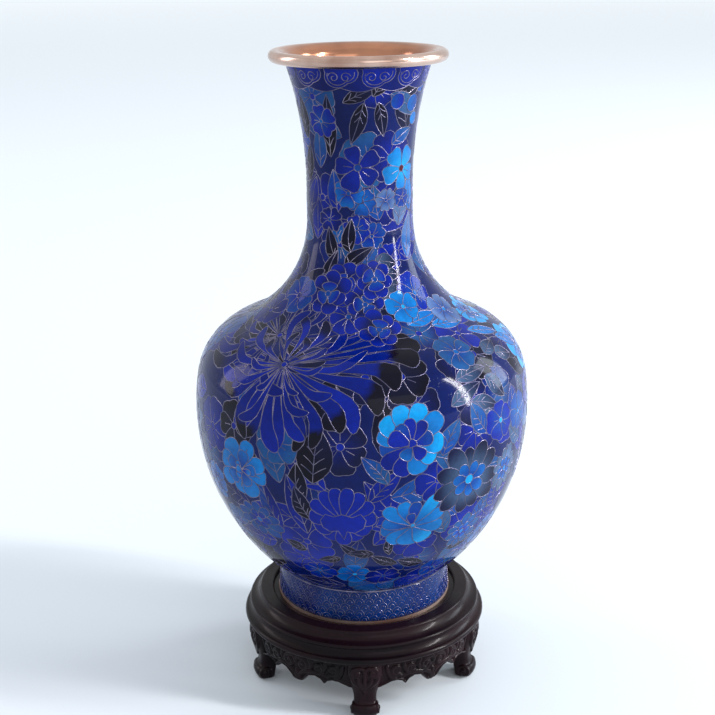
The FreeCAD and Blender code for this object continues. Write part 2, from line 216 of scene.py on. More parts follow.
def giltMaterial(name, dullest, brightest):
    # polished pinkish gilt, warmer and darker on its inner slope, where shade is painted in, with fine
    # turning marks and a patchy tarnish
    material, tree, shader = newMaterial(name)
    place = objectCoordinates(tree)
    flatten = tree.nodes.new("ShaderNodeVectorMath")
    flatten.operation = "MULTIPLY"
    flatten.inputs[1].default_value = (1, 1, 0)
    tree.links.new(place, flatten.inputs[0])
    radius = tree.nodes.new("ShaderNodeVectorMath")
    radius.operation = "LENGTH"
    tree.links.new(flatten.outputs["Vector"], radius.inputs[0])
    # painted shade: the inner slope takes the darker inner colour, which gives way to the outer colour across
    # the roll
    outward = span(tree, radius.outputs["Value"], *giltFinish["edge"], 0, 1)
    body = mixColour(tree, outward, giltFinish["inner"], giltFinish["outer"])
    tarnish = span(tree, noise(tree, place, 26, 4), 0.40, 0.64, 0, 0.8)
    tree.links.new(mixColour(tree, tarnish, body, giltFinish["tarnish"]), shader.inputs["Base Color"])
    lines = noise(tree, place, 30, 2, stretch=(1, 1, 60))
    tree.links.new(span(tree, lines, 0.3, 0.7, brightest, dullest), shader.inputs["Roughness"])
    dents = noise(tree, place, 70, 1)
    tree.links.new(bump(tree, dents, 0.25, 0.0006), shader.inputs["Normal"])
    shader.inputs["Metallic"].default_value = 1.0
    return material


copperFinish = {"colour": (0.62, 0.33, 0.22), "dark": (0.30, 0.15, 0.11)}


def copperMaterial():
    # unpolished sheet, seen only down the throat and inside the foot
    material, tree, shader = newMaterial("sheetCopper")
    place = objectCoordinates(tree)
    stain = span(tree, noise(tree, place, 60, 5), 0.35, 0.7, 0, 1)
    body = mixColour(tree, stain, copperFinish["colour"], copperFinish["dark"])
    tree.links.new(body, shader.inputs["Base Color"])
    tree.links.new(span(tree, stain, 0, 1, 0.35, 0.6), shader.inputs["Roughness"])
    shader.inputs["Metallic"].default_value = 1.0
    return material


liningFinish = {"colour": (0.035, 0.12, 0.32), "dark": (0.02, 0.06, 0.2)}


def liningMaterial():
    # plain counter-enamel, sprayed and fired with orange-peel ripples
    material, tree, shader = newMaterial("counterEnamel")
    place = objectCoordinates(tree)
    blotch = noise(tree, place, 120, 4)
    body = mixColour(tree, blotch, liningFinish["dark"], liningFinish["colour"])
    tree.links.new(body, shader.inputs["Base Color"])
    tree.links.new(bump(tree, noise(tree, place, 260, 2), 0.3, 0.0004), shader.inputs["Normal"])
    shader.inputs["Roughness"].default_value = 0.25
    return material


woodFinish = {
    "light": (0.011, 0.0035, 0.0055),
    "dark": (0.002, 0.001, 0.0018),
    "polish": 0.07,
    "polishRoughness": 0.12,
}


def woodMaterial(name, stretch):
    # dark purple-brown hardwood with long pores under a worn wax polish
    material, tree, shader = newMaterial(name)
    place = objectCoordinates(tree)
    figure = noise(tree, place, 9, 5, 0.6, stretch=stretch)
    pores = noise(tree, place, 90, 3, 0.7, stretch=stretch)
    body = mixColour(tree, span(tree, figure, 0.35, 0.65, 0, 1), woodFinish["dark"], woodFinish["light"])
    pored = mixColour(tree, span(tree, pores, 0.55, 0.72, 0, 0.7), body, woodFinish["dark"])
    tree.links.new(pored, shader.inputs["Base Color"])
    tree.links.new(span(tree, noise(tree, place, 40, 3), 0.3, 0.7, 0.2, 0.42), shader.inputs["Roughness"])
    tree.links.new(bump(tree, pores, 0.25, 0.0003), shader.inputs["Normal"])
    shader.inputs["Specular IOR Level"].default_value = woodFinish["polish"]
    shader.inputs["Coat Weight"].default_value = woodFinish["polish"]
    shader.inputs["Coat Roughness"].default_value = woodFinish["polishRoughness"]
    return material


enamel = enamelMaterial()
wire = wireMaterial()
gilt = giltMaterial("polishedGilt", dullest=0.26, brightest=0.12)
bandGilt = giltMaterial("brushedGilt", dullest=0.6, brightest=0.42)
copper = copperMaterial()
lining = liningMaterial()
turnedWood = woodMaterial("turnedHardwood", (1, 1, 8))
carvedWood = woodMaterial("carvedHardwood", (3, 3, 1))
print("materials made")


# the vase's skin: one section, from the crease above the foot up to the mouth ring

vaseShape = {
    "shoulderArc": 36.3,
    "throatArc": 59.3,
    "neckRadius": 27.7,
    "neckStraight": 18.9,
    "step": 0.25,  # spacing of the section's points
    "coat": 0.95,  # thickness of the enamel
    "ringProud": 0.12,  # how far the ring wires stand out past it
}


def skinSection():
    # tangent arcs for bowl, shoulder and throat, then a straight neck and a flare
    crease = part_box("belly_enamel")[0].z / mm
    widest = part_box("belly_enamel")[1].z / mm
    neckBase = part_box("neck_enamel")[0].z / mm
    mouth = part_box("neck_shell")[1].z / mm
    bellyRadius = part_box("belly_enamel")[1].x / mm
    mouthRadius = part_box("mouth_wire")[1].x / mm - vaseShape["ringProud"]
    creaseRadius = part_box("foot_wire")[1].x / mm - vaseShape["ringProud"]
    shoulder, throat, neck = (vaseShape[k] for k in ("shoulderArc", "throatArc", "neckRadius"))
    flareBase = neckBase + vaseShape["neckStraight"]

    def arcRadius(run, bulge):
        return (run * run + bulge * bulge) / (2 * bulge)

    bowl = arcRadius(widest - crease, bellyRadius - creaseRadius)
    flare = arcRadius(mouth - flareBase, mouthRadius - neck)
    low = np.array((bellyRadius - bowl, widest))
    high = np.array((neck + throat, neckBase))
    near, far, gap = bowl - shoulder, shoulder + throat, np.linalg.norm(high - low)
    along = (near**2 - far**2 + gap**2) / (2 * gap)
    aside = math.sqrt(near**2 - along**2)
    ux, uy = (high - low) / gap
    middle = low + np.array((ux * along + uy * aside, uy * along - ux * aside))

    def heading(a, b):
        return math.degrees(math.atan2(b[1] - a[1], b[0] - a[0]))

    first = heading(low, (creaseRadius, crease))
    turn = heading(low, middle)
    bend = heading(middle, high)
    last = math.degrees(math.asin((mouth - flareBase) / flare))
    step = vaseShape["step"]
    points = arcPoints(low, bowl, first, turn, step)
    points += arcPoints(middle, shoulder, turn, bend, step)[1:]
    points += arcPoints(high, throat, bend + 180, 180, step)[1:]
    points += [(neck, z) for z in np.arange(neckBase + step, flareBase, step)]
    points += arcPoints((neck + flare, flareBase), flare, 180, 180 - last, step)
    return np.array(points)


section = skinSection()
sectionSteps = np.linalg.norm(np.diff(section, axis=0), axis=1)
climb = np.concatenate([[0], np.cumsum(sectionSteps)])  # distance up the skin from the crease
skinTop = climb[-1]
slope = np.gradient(section, climb, axis=0)
widestClimb = climb[section[:, 0].argmax()]
neckClimb = np.interp(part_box("neck_enamel")[0].z / mm, section[:, 1], climb)
print("skin is", round(skinTop, 1), "mm from crease to mouth")


def girth(s):
    return np.interp(s, climb, section[:, 0])


def facing(s):
    # outward direction of the section, as its parts along the radius and along the height
    return np.interp(s, climb, slope[:, 1]), -np.interp(s, climb, slope[:, 0])


def skinPoint(angle, s, lift=0.0):
    # a point on the skin, or lifted off it along its normal
    r, z = girth(s), np.interp(s, climb, section[:, 1])
    outR, outZ = facing(s)
    return around(r + lift * outR, z + lift * outZ, angle)


def skinNormal(angle, s):
    outR, outZ = facing(s)
    size = np.hypot(outR, outZ)
    outR, outZ = outR / size, outZ / size
    return np.stack([outR * np.sin(angle), -outR * np.cos(angle), outZ], -1)


# enamel colours, from the deep ground to the brightest petals

paint = {
    "ground": (0.002, 0.009, 0.090),
    "deep": (0.002, 0.008, 0.115),
    "ultramarine": (0.001, 0.010, 0.175),
    "royal": (0.002, 0.014, 0.265),
    "blue": (0.003, 0.046, 0.260),
    "sky": (0.003, 0.105, 0.390),
    "cyan": (0.003, 0.165, 0.500),
    "bright": (0.003, 0.290, 0.680),
    "teal": (0.012, 0.075, 0.230),
    "slate": (0.045, 0.090, 0.180),
    "mist": (0.090, 0.160, 0.340),
    "black": (0.003, 0.003, 0.010),
    "ink": (0.004, 0.006, 0.035),
    "garnet": (0.060, 0.004, 0.012),
}

cells = []  # one closed patch of enamel each, later ones lying over earlier ones
veins = []  # open wires, each inside the cell it was drawn with


def place(points, angle, s, turn=0.0):
    # moves a motif drawn flat in millimetres onto the skin, turned by degrees
    points = np.asarray(points, float).reshape(-1, 2)
    c, w = math.cos(math.radians(turn)), math.sin(math.radians(turn))
    across = points[:, 0] * c - points[:, 1] * w
    up = points[:, 0] * w + points[:, 1] * c + s
    return np.stack([math.radians(angle) + across / girth(np.clip(up, 0, skinTop)), up], 1)


def cell(spot, outline, colours, axis=None, ramp=(0.0, 1.0), inner=()):
    # a closed cell: two colours fading along axis, and any open wires that lie in it
    outline = np.asarray(outline, float)
    axis = (outline[0], outline[len(outline) // 2]) if axis is None else axis
    start, stop = place(axis, *spot)
    cells.append({
        "edge": place(outline, *spot),
        "colours": [np.array(paint[name]) for name in colours],
        "start": start,
        "stop": stop,
        "ramp": ramp,
        "grow": girth(start[1]),
    })
    for line in inner:
        veins.append((len(cells) - 1, place(line, *spot)))


def leafOutline(length, width, bend, blunt, fullest, count):
    # closed outline from its root up the left side and down the right; bend leans the axis sideways
    t = 0.5 - 0.5 * np.cos(np.linspace(0, math.pi, count))
    half = width / 2 * np.sin(math.pi * np.clip(t, 0, 1) ** fullest) ** blunt
    half[0] = half[-1] = 0
    lean = bend * length * t * t
    y = length * t
    left = np.stack([lean - half, y], 1)
    right = np.stack([lean + half, y], 1)[::-1]
    return np.concatenate([left, right[1:-1]])


def notched(outline, length, depth, width):
    # presses a shallow notch into a petal's tip
    outline = outline.copy()
    near = np.exp(-((outline[:, 0] / (width * 0.22)) ** 2)) * (outline[:, 1] > length * 0.6)
    outline[:, 1] -= depth * near
    return outline


def circle(radius, count=12):
    t = np.linspace(0, 2 * math.pi, count, endpoint=False)
    return np.stack([radius * np.cos(t), radius * np.sin(t)], 1)


def rotated(points, degrees):
    a = math.radians(degrees)
    points = np.asarray(points, float)
    return np.stack([
        points[:, 0] * math.cos(a) - points[:, 1] * math.sin(a),
        points[:, 0] * math.sin(a) + points[:, 1] * math.cos(a),
    ], 1)


def leaf(angle, s, turn, length, width, colours=("ink", "black"), bend=0.15, split=None, ribs=3):
    # a pointed leaf; split gives its second half other colours along the midrib
    spot = (angle, s, turn)
    whole = leafOutline(length, width, bend, 0.9, 0.85, 10)
    half = len(whole) // 2
    t = np.linspace(0, 1, 7)
    rib = np.stack([bend * length * t * t, length * t], 1)
    sides = []
    for k in range(ribs):
        foot = rib[1 + k]
        for side in (-1, 1):
            reach = width * 0.34 * (1 - 0.18 * k)
            sides.append([foot, foot + np.array((side * reach * 0.6, length * 0.1)),
                          foot + np.array((side * reach, length * 0.15))])
    if split is None:
        cell(spot, whole, colours, inner=[rib, *sides])
    else:
        left = np.concatenate([whole[:half + 1], rib[::-1][1:-1]])
        right = np.concatenate([rib, whole[half + 1:]])
        cell(spot, left, colours, inner=sides[::2])
        cell(spot, right, split, axis=(rib[0], rib[-1]), inner=sides[1::2])


def blossom(angle, s, radius, colours, turn=0.0, petals=5, heart="cyan", notch=0.12, wide=0.92):
    # a small open flower of rounded, notched petals about a round eye, no two petals quite alike
    draw = random.Random(int(angle * 7 + s * 13))
    for k in range(petals):
        reach = radius * draw.uniform(0.86, 1.1)
        lean = 360 / petals * k + draw.uniform(-6, 6)
        width = reach * wide * draw.uniform(0.86, 1.1) * (5 / petals) ** 0.7
        shape = notched(leafOutline(reach, width, 0.0, 0.55, 1.6, 10), reach, reach * notch, reach * 0.9)
        stamen = rotated([(0, radius * 0.2), (0, radius * 0.5)], lean)
        cell((angle, s, turn), rotated(shape, lean), colours, inner=[stamen] if k % 2 else ())
    cell((angle, s, turn), circle(radius * 0.13, 10), (heart, heart))


def daisy(angle, s, radius, petals, colours, inside, turn, eye="bright", flat=1.0):
    # two rows of rounded petals about a dotted eye; flat squeezes the flower as if seen aslant
    draw = random.Random(int(angle * 11 + s * 3))
    for row, (reach, count, tints) in enumerate(((1.0, petals, colours), (0.52, petals - 4, inside))):
        for k in range(count):
            lean = 360 / count * (k + 0.5 * row) + draw.uniform(-5, 5)
            length = radius * reach * draw.uniform(0.86, 1.1)
            wide = length * 2 * math.pi / count * (0.80 if row == 0 else 0.66)
            shape = rotated(leafOutline(length, wide, 0.0, 0.55, 1.7, 9), lean) * (1, flat)
            cell((angle, s, turn), shape, tints, ramp=(0.25, 0.95))
    cell((angle, s, turn), circle(radius * 0.13, 10) * (1, flat), (eye, eye))


def petalOutline(length, width, notch=0.05):
    # narrow at the root and round at the tip, with a shallow notch in it
    return notched(leafOutline(length, width, 0.0, 0.55, 1.9, 11), length, length * notch, width)


def peony(angle, s, radius, colours, turn, seed):
    # broad notched petals in three rows, each row set between the last, about a folded heart
    draw = random.Random(seed)
    aslant = (1, 0.92)
    for row, tints in enumerate(colours):
        reach = radius * (1.0, 0.62, 0.36)[row]
        count = (8, 5, 3)[row]
        for k in range(count):
            lean = 360 / count * (k + 0.5 * row) + draw.uniform(-9, 9)
            size = reach * draw.uniform(0.82, 1.14)
            petal = petalOutline(size, size * draw.uniform(0.52, 0.74), draw.uniform(0.03, 0.09))
            crease = [(0, size * 0.5), (draw.uniform(-0.6, 0.6), size * 0.72)]
            cell((angle, s, turn), rotated(petal, lean) * aslant, tints, ramp=(0.3, 0.95),
                 inner=[rotated(crease, lean) * aslant] if row == 0 and k % 2 else ())
    cell((angle, s, turn), rotated(petalOutline(radius * 0.3, radius * 0.24), 30) + (0, -radius * 0.12),
         (colours[1][0], colours[0][1]))


def sprayFlower(angle, s, petals, heart=("royal", "royal"), size=2.6):
    # petals given one by one as (lean, length, width, root colour, tip colour), the hidden ones first
    for lean, length, width, root, tip in petals:
        petal = petalOutline(length, width)
        cell((angle, s, 0), rotated(petal, lean), (root, tip), ramp=(0.15, 0.95))
    cell((angle, s, 0), rotated(petalOutline(size * 2, size * 1.7), -40) + (-size * 0.6, -size * 0.6), heart)


def crownPeony(angle, s, radius, colours):
    # seen from the side: a crown of upright petals over a broad cup with a short tail
    crown = ((150, 0.95, 0.6), (-150, 0.95, 0.6), (180, 1.05, 0.5), (115, 0.95, 0.7), (-115, 0.95, 0.7),
             (84, 1.05, 0.6), (-84, 1.05, 0.6), (56, 1.15, 0.5), (-56, 1.15, 0.5), (30, 1.2, 0.46),
             (-32, 1.2, 0.46), (10, 1.2, 0.44), (-11, 1.22, 0.44))
    for lean, reach, wide in crown:
        petal = petalOutline(radius * reach, radius * wide, 0.04)
        cell((angle, s, 0), rotated(petal, lean), colours, ramp=(0.2, 1.0))
    cup = [(-0.66, -0.05), (-0.5, 0.2), (-0.25, 0.12), (0, 0.22), (0.3, 0.12), (0.55, 0.24), (0.7, 0.0),
           (0.62, -0.3), (0.35, -0.5), (0.12, -0.44), (0.02, -0.78), (-0.14, -0.42), (-0.4, -0.46),
           (-0.6, -0.3)]
    cell((angle, s, 0), np.array(cup) * radius, (colours[0], colours[0]))


def spiderPetal(length, width, bend, hook, start):
    # long petal: thin at its root, swelling to a round tip that hooks to one side
    t = 0.5 - 0.5 * np.cos(np.linspace(0, math.pi, 15))
    swell = 0.10 + 0.90 * np.clip(t / 0.8, 0, 1) ** 1.5
    half = width / 2 * swell * np.sqrt(np.clip(1 - (np.clip(t - 0.8, 0, 1) / 0.2) ** 2, 0, 1))
    lean = bend * length * t**2 + hook * width * np.clip(t - 0.62, 0, 1) ** 2 * 9
    y = start + length * (t - 0.10 * abs(hook) * np.clip(t - 0.7, 0, 1) ** 2 * 9)
    axis = np.stack([lean, y], 1)
    along = np.gradient(axis, axis=0)
    along /= np.linalg.norm(along, axis=1)[:, None]
    aside = np.stack([-along[:, 1], along[:, 0]], 1)
    left = axis + aside * half[:, None]
    right = (axis - aside * half[:, None])[::-1]
    return np.concatenate([left, right[1:-1]]), axis


def chrysanthemum(angle, s, radius, colours, tip, turn, seed,
                  rows=((1.0, 17), (0.78, 17), (0.56, 19), (0.34, 19)), tipped=0.8):
    # rows of long hooked petals that all spring from one point; tipped is the share with dark tips
    draw = random.Random(seed)
    for row, (reach, count) in enumerate(rows):
        for k in range(count):
            lean = 360 / count * (k + 0.5 * (row % 2)) + draw.uniform(-7, 7)
            length = radius * reach * draw.uniform(0.86, 1.1)
            way = 1 if math.sin(math.radians(lean)) > 0 else -1
            width = length * draw.uniform(0.10, 0.15) + 1.4
            petal, axis = spiderPetal(length, width, 0.16 * way * draw.uniform(0.2, 1.3),
                                      way * draw.uniform(0.5, 1.5), radius * 0.06)
            tinted = draw.random() < tipped - 0.22 * row
            tints = (colours[row % 2], tip) if tinted else (colours[0], colours[1])
            root, far = rotated([axis[0], axis[-1]], lean)
            cell((angle, s, turn), rotated(petal, lean), tints, axis=(root, far),
                 ramp=(0.62, 0.84) if tinted else (0.2, 1.0))
    cell((angle, s, turn), circle(1.6, 8), ("royal", "royal"))


def scatter(kind, spots, *rest, **more):
    # one motif at each spot, with what they share given once
    for spot in spots:
        kind(*spot, *rest, **more)


def leavesOfFront():
    # leaves and loose petals, laid before the flowers that cover their roots
    leaf(-16, 92, -4, 30, 19, ("black", "black"), 0.05, ("black", "ink"))
    leaf(-21, 78, 10, 24, 12, ("ink", "black"), 0.15)
    leaf(-20, 60, 8, 36, 12, ("royal", "deep"), -0.08, ("deep", "royal"), ribs=4)
    leaf(-30, 58, 20, 34, 11, ("deep", "blue"), 0.10, ("royal", "deep"), ribs=4)
    leaf(-18, 70, 32, 20, 10, ("black", "ink"), 0.2)
    leaf(2, 82, -38, 24, 10, ("ultramarine", "royal"), 0.1)
    leaf(8, 92, 30, 20, 9, ("teal", "blue"), -0.2)
    scatter(leaf, (
        (-22, 47, 75, 12, 7), (-9, 43, 118, 12, 6), (-1, 45, 60, 14, 6), (4, 47, 100, 13, 7),
        (14, 36, 70, 17, 7), (26, 33, 78, 17, 8), (36, 40, -70, 15, 7), (10, 45, 15, 15, 5),
    ), ("black", "ink"), 0.2, ribs=2)
    scatter(leaf, (
        (30, 128, -60, 22, 9), (34, 140, -75, 22, 9), (38, 128, -100, 20, 8), (47, 138, -130, 18, 10),
        (54, 148, -60, 15, 9), (60, 146, -100, 15, 9), (66, 130, -150, 18, 10), (46, 122, 150, 16, 9),
        (57, 121, 190, 15, 8),
    ), ("slate", "ink"), 0.15, ribs=2)
    scatter(leaf, (
        (27, 179, -75, 22, 9), (42, 176, -95, 24, 8), (60, 165, -112, 24, 8), (71, 153, -120, 22, 8),
        (50, 184, -100, 18, 7),
    ), ("cyan", "sky"), 0.1, ribs=2)
    tints = (("blue", "teal"), ("royal", "blue"), ("teal", "slate"))
    spots = ((44, 110, 40), (60, 108, 10), (66, 96, 60), (26, 104, -20), (2, 66, -70),
             (31, 56, 30), (44, 58, -20), (55, 62, 30), (70, 70, 0), (62, 80, 40))
    for k, (angle, s, turn) in enumerate(spots):
        leaf(angle, s, turn, 20, 11, tints[k % 3], 0.2)


def greatChrysanthemum():
    # long hooked petals first, given as (lean, length, width, bend, hook, tipped), then its fans
    heart = (-30.5, 151)
    long = (
        (-46, 52, 8, 0.1, 1.2, 0), (-57, 60, 9, 0.12, 1.0, 1), (-68, 68, 11, 0.05, 1.1, 1),
        (-79, 71, 11.5, 0.0, 1.1, 1), (-90, 66, 11.5, -0.04, 1.2, 1), (-101, 62, 12, -0.02, 1.1, 1),
        (-112, 55, 11, 0.04, 1.0, 0), (-123, 50, 10, -0.05, 0.9, 1), (-134, 47, 9, 0.06, 1.2, 1),
        (-146, 45, 8.5, 0.1, 1.0, 1), (-158, 42, 9, 0.08, -0.8, 0), (-170, 44, 11, 0.04, 0.5, 0),
        (176, 45, 12, 0.0, -0.6, 0), (163, 47, 9, -0.05, 1.3, 1), (151, 43, 11, -0.1, 0.8, 0),
        (139, 44, 10, -0.12, -1.0, 1), (126, 40, 9.5, -0.1, 1.1, 1), (113, 42, 9, -0.05, 1.0, 0),
        (100, 40, 9, 0.0, 1.0, 1), (87, 36, 8, 0.1, -1.0, 1), (74, 34, 8, 0.1, -1.0, 0),
    )
    for lean, reach, wide, bend, hook, tipped in long:
        petal, axis = spiderPetal(reach, wide * 0.8, bend, hook, 1.5)
        root, far = rotated([axis[0], axis[-1]], lean)
        tints = ("ultramarine", "black" if tipped else "royal")
        ramp = (0.80, 0.85) if tipped else (0.1, 1)
        cell((*heart, 0), rotated(petal, lean), tints, axis=(root, far), ramp=ramp)
    chrysanthemum(-44, 169, 40, ("deep", "ultramarine"), "ink", 0, 5, ((1.0, 14), (0.62, 9)), tipped=0.35)
    chrysanthemum(*heart, 46, ("royal", "ultramarine"), "ink", 0, 3, ((0.72, 11), (0.40, 8)), tipped=0.4)


def flowersOfFront():
    # the side that faces the viewer, laid from the lowest cells to the topmost
    leavesOfFront()
    greatChrysanthemum()
    sprayFlower(15.5, 112, (
        (95, 17, 10, "royal", "blue"), (125, 19, 9, "royal", "ultramarine"), (158, 18, 10, "royal", "royal"),
        (-165, 17, 11, "sky", "cyan"), (-128, 16, 9, "cyan", "bright"), (-92, 18, 11, "sky", "bright"),
        (70, 19, 9, "sky", "cyan"), (46, 21, 11, "cyan", "bright"), (17, 22, 10, "sky", "bright"),
        (-15, 22, 10, "cyan", "bright"), (-50, 22, 11, "sky", "cyan"), (-72, 12, 8, "royal", "blue"),
        (-32, 14, 6.5, "royal", "ultramarine"), (4, 14, 6.5, "royal", "royal"), (34, 13, 7, "royal", "blue"),
        (66, 13, 9, "royal", "royal"), (-140, 10, 7, "ultramarine", "royal"), (150, 9, 7, "blue", "sky"),
    ))
    crownPeony(-7, 71, 17, ("royal", "royal"))
    sprayFlower(17, 65, (
        (95, 17, 10, "blue", "sky"), (132, 16, 10, "sky", "cyan"), (172, 14, 12, "sky", "cyan"),
        (-140, 15, 11, "sky", "bright"), (-97, 18, 9, "sky", "cyan"), (75, 17, 8, "blue", "sky"),
        (50, 21, 8, "sky", "cyan"), (22, 18, 8, "blue", "cyan"), (-4, 16, 7, "royal", "blue"),
        (-66, 19, 8, "sky", "cyan"), (-36, 23, 8, "sky", "bright"), (10, 9, 5, "royal", "blue"),
    ), ("cyan", "bright"), 1.6)
    daisy(37, 87, 21, 11, ("slate", "ink"), ("blue", "sky"), 5, "bright")
    peony(-43.5, 91, 19, (("sky", "cyan"), ("blue", "sky"), ("royal", "cyan")), 30, 12)
    daisy(-40, 62, 15, 10, ("teal", "blue"), ("royal", "blue"), 0, "sky", 0.85)
    scatter(blossom, (
        (-61, 76, 12, ("blue", "sky"), 20, 6), (51.5, 113, 12, ("blue", "royal"), 10, 5, "bright"),
        (41, 155, 13, ("blue", "teal"), -15, 6, "sky"), (64, 112, 12, ("sky", "blue"), 40, 5, "cyan"),
    ))
    daisy(56, 84, 13, 11, ("mist", "slate"), ("blue", "sky"), 12, "cyan")
    scatter(blossom, (
        (-4, 27, 11, ("blue", "sky"), 0, 6, "bright"), (-20, 28, 10, ("blue", "royal"), 30, 6, "sky"),
        (9, 24, 10, ("royal", "deep"), 15, 6, "blue"), (34, 24, 10, ("royal", "blue"), 45, 6, "sky"),
    ))
    daisy(40, 52, 12, 10, ("blue", "teal"), ("royal", "sky"), 0, "cyan")
    blossom(57, 44, 12, ("blue", "sky"), 10, 6, "bright")

    # the shoulder, up to the foot of the neck
    blossom(-8, 186, 12, ("ultramarine", "royal"), 0, 7, "blue")
    for angle, s, size in ((-14, 203, 12), (3, 193, 11), (10, 178, 12), (-26, 198, 12), (12, 206, 11)):
        daisy(angle, s, size, 7, ("ink", "royal"), ("blue", "royal"), s * 7, "blue")
    scatter(blossom, (
        (45, 196, 12, ("blue", "royal"), 20, 6, "sky"), (62, 182, 12, ("blue", "mist"), 45, 6, "cyan"),
        (30, 190, 10, ("sky", "cyan"), 10, 5, "bright"),
        (-52, 194, 12, ("royal", "blue"), 10, 6, "ultramarine"),
        (-70, 180, 12, ("deep", "ultramarine"), 10, 6, "royal"),
    ))


def flowersOfNeck():
    # drooping sprays, seen from the front and a little to the sides
    scatter(leaf, (
        (-62, 276, 4, 22, 9), (-66, 254, -6, 20, 8), (-30, 268, 3, 32, 9), (-14, 296, -62, 20, 7),
        (4, 296, 168, 22, 8), (17, 296, 196, 18, 7), (30, 294, -60, 22, 9), (12, 299, -30, 16, 8),
    ), ("black", "ink"), 0.08, ribs=2)
    scatter(leaf, (
        (28, 300, -118, 24, 10, ("teal", "slate"), 0.05), (34, 274, -50, 15, 8, ("blue", "teal"), 0.2),
        (-44, 262, 0, 22, 9, ("blue", "teal"), 0.05), (-24, 240, 8, 22, 9, ("royal", "blue"), 0.05),
        (-22, 224, 18, 20, 9, ("sky", "blue"), 0.05), (-50, 225, 5, 22, 10, ("royal", "ultramarine"), 0.1),
        (-64, 238, -12, 20, 9, ("deep", "royal"), 0.1), (44, 232, -10, 24, 11, ("mist", "slate"), 0.1),
        (52, 214, -10, 26, 9, ("sky", "mist"), 0.1), (66, 238, 10, 20, 9, ("sky", "cyan"), 0.1),
        (20, 236, 15, 18, 10, ("blue", "teal"), 0.1),
    ), ribs=1)
    small = ((2, 246, 8, ("sky", "blue")), (-12, 250, 9, ("royal", "sky")), (12, 228, 8, ("royal", "blue")),
             (-4, 232, 8, ("blue", "royal")), (28, 246, 7, ("blue", "mist")), (50, 246, 6, ("royal", "blue")),
             (30, 216, 8, ("ultramarine", "royal")), (-34, 236, 8, ("royal", "deep")))
    for angle, s, radius, tints in small:
        blossom(angle, s, radius, tints, s, 5, "blue", 0.2)
    for k in range(4):
        leaf(14, 196 + k * 6.5, -82 - 4 * k, 15 - k, 8.5, ("slate", "ink"), 0.15, ribs=1)
    scatter(leaf, ((-24, 216, 40), (-14, 212, -30), (-30, 204, 10), (-10, 220, 20)),
            16, 8, ("black", "ink"), 0.4, ribs=1)
    blossom(-2, 263, 14.5, ("royal", "ultramarine"), 14, 5, "blue", 0.16, 0.66)
    blossom(49, 261, 13.5, ("bright", "cyan"), 40, 5, "garnet", 0.16, 0.7)
    blossom(-38, 286, 9, ("blue", "royal"), 10, 5, "sky", 0.2)
    cell((36, 296, 0), circle(4.2), ("royal", "blue"))
    cell((56, 294, 0), circle(4.6), ("blue", "sky"))
    cell((62, 286, 0), circle(3.4), ("sky", "cyan"))


def flowersAround():
    # the sides and back, with the same kinds of flower in the same rhythm
    draw = random.Random(20)
    tones = ((("sky", "cyan"), ("royal", "blue"), ("blue", "cyan")),
             (("royal", "ultramarine"), ("ultramarine", "royal"), ("royal", "blue")),
             (("cyan", "bright"), ("blue", "sky"), ("royal", "sky")),
             (("teal", "blue"), ("sky", "blue"), ("royal", "blue")))
    chrysanthemum(150, 150, 58, ("ultramarine", "royal"), "black", 12, 11)
    chrysanthemum(-118, 128, 48, ("royal", "blue"), "ink", 40, 12)
    chrysanthemum(102, 110, 38, ("ultramarine", "sky"), "black", 0, 13, ((1.0, 17), (0.7, 17), (0.4, 15)))
    chrysanthemum(-160, 178, 34, ("royal", "sky"), "ink", 0, 14, ((1.0, 15), (0.7, 15), (0.4, 13)))
    spots = ((-86, 98, 18), (-98, 70, 17), (84, 140, 17), (82, 82, 19), (112, 62, 18), (140, 84, 20),
             (172, 98, 20), (-158, 112, 20), (-170, 66, 18), (-140, 84, 18), (-118, 66, 16), (-84, 150, 17),
             (176, 190, 14), (118, 176, 16), (84, 172, 14), (-100, 178, 14), (-132, 184, 13))
    for k, spot in enumerate(spots):
        if k % 3:
            peony(*spot, tones[k % 4], k * 37.0, k)
        else:
            daisy(*spot, 12, ("slate", "ink"), ("blue", "sky"), k * 20.0)
    for k in range(26):
        angle, s = -180 + 360 * k / 26 + draw.uniform(-5, 5), 30 + 12 * (k % 2) + draw.uniform(-3, 3)
        if abs(angle) > 62:
            blossom(angle, s, draw.uniform(9, 12), tones[k % 4][k % 3], draw.uniform(0, 90), 6, "sky")
    for k in range(12):
        angle = 78 + 204 * (k + 0.5) / 12
        leaf(angle, 270 + draw.uniform(-9, 9), draw.uniform(-35, 35), draw.uniform(20, 28), 9,
             ("black", "ink"), 0.08, ribs=2)
        blossom(angle + 8, 254 + draw.uniform(-16, 22), draw.uniform(9, 14), tones[draw.randrange(4)][k % 3],
                draw.uniform(0, 90), 5, "blue", 0.16, 0.7)
        leaf(angle + 5, 222 + draw.uniform(-5, 5), draw.uniform(-30, 30), 22, 10, tones[(k + 1) % 4][1], 0.1)
        daisy(angle + 4, 205 + draw.uniform(-3, 3), 10, 8, ("royal", "ink"), ("blue", "royal"),
              k * 25.0, "blue")


def bedOfLeaves():
    # leaves and broad petals under everything, so that no ground stays bare for long
    draw = random.Random(8)
    tints = (("deep", "ink"), ("royal", "deep"), ("teal", "deep"), ("ultramarine", "royal"), ("blue", "teal"),
             ("ink", "black"), ("royal", "ultramarine"))
    s = 12.0
    while s < 298:
        count = max(7, int(2 * math.pi * girth(s) / 25))
        for k in range(count):
            angle = 360 * (k + draw.random() * 0.7) / count - 180
            low = s + draw.uniform(-4, 4)
            if draw.random() < 0.42:
                leaf(angle, low, draw.uniform(-110, 110), draw.uniform(26, 36), draw.uniform(12, 16),
                     draw.choice(tints), draw.uniform(-0.2, 0.2), ribs=2)
            else:
                blossom(angle, low + 5, draw.uniform(13, 17), draw.choice(tints), draw.uniform(0, 72),
                        draw.choice((5, 6)), "royal", 0.12)
        s += 19


ruyiBand = {"heads": 12, "drop": 11.6, "lobe": 5.6, "swell": 1.6, "curl": 2.9}


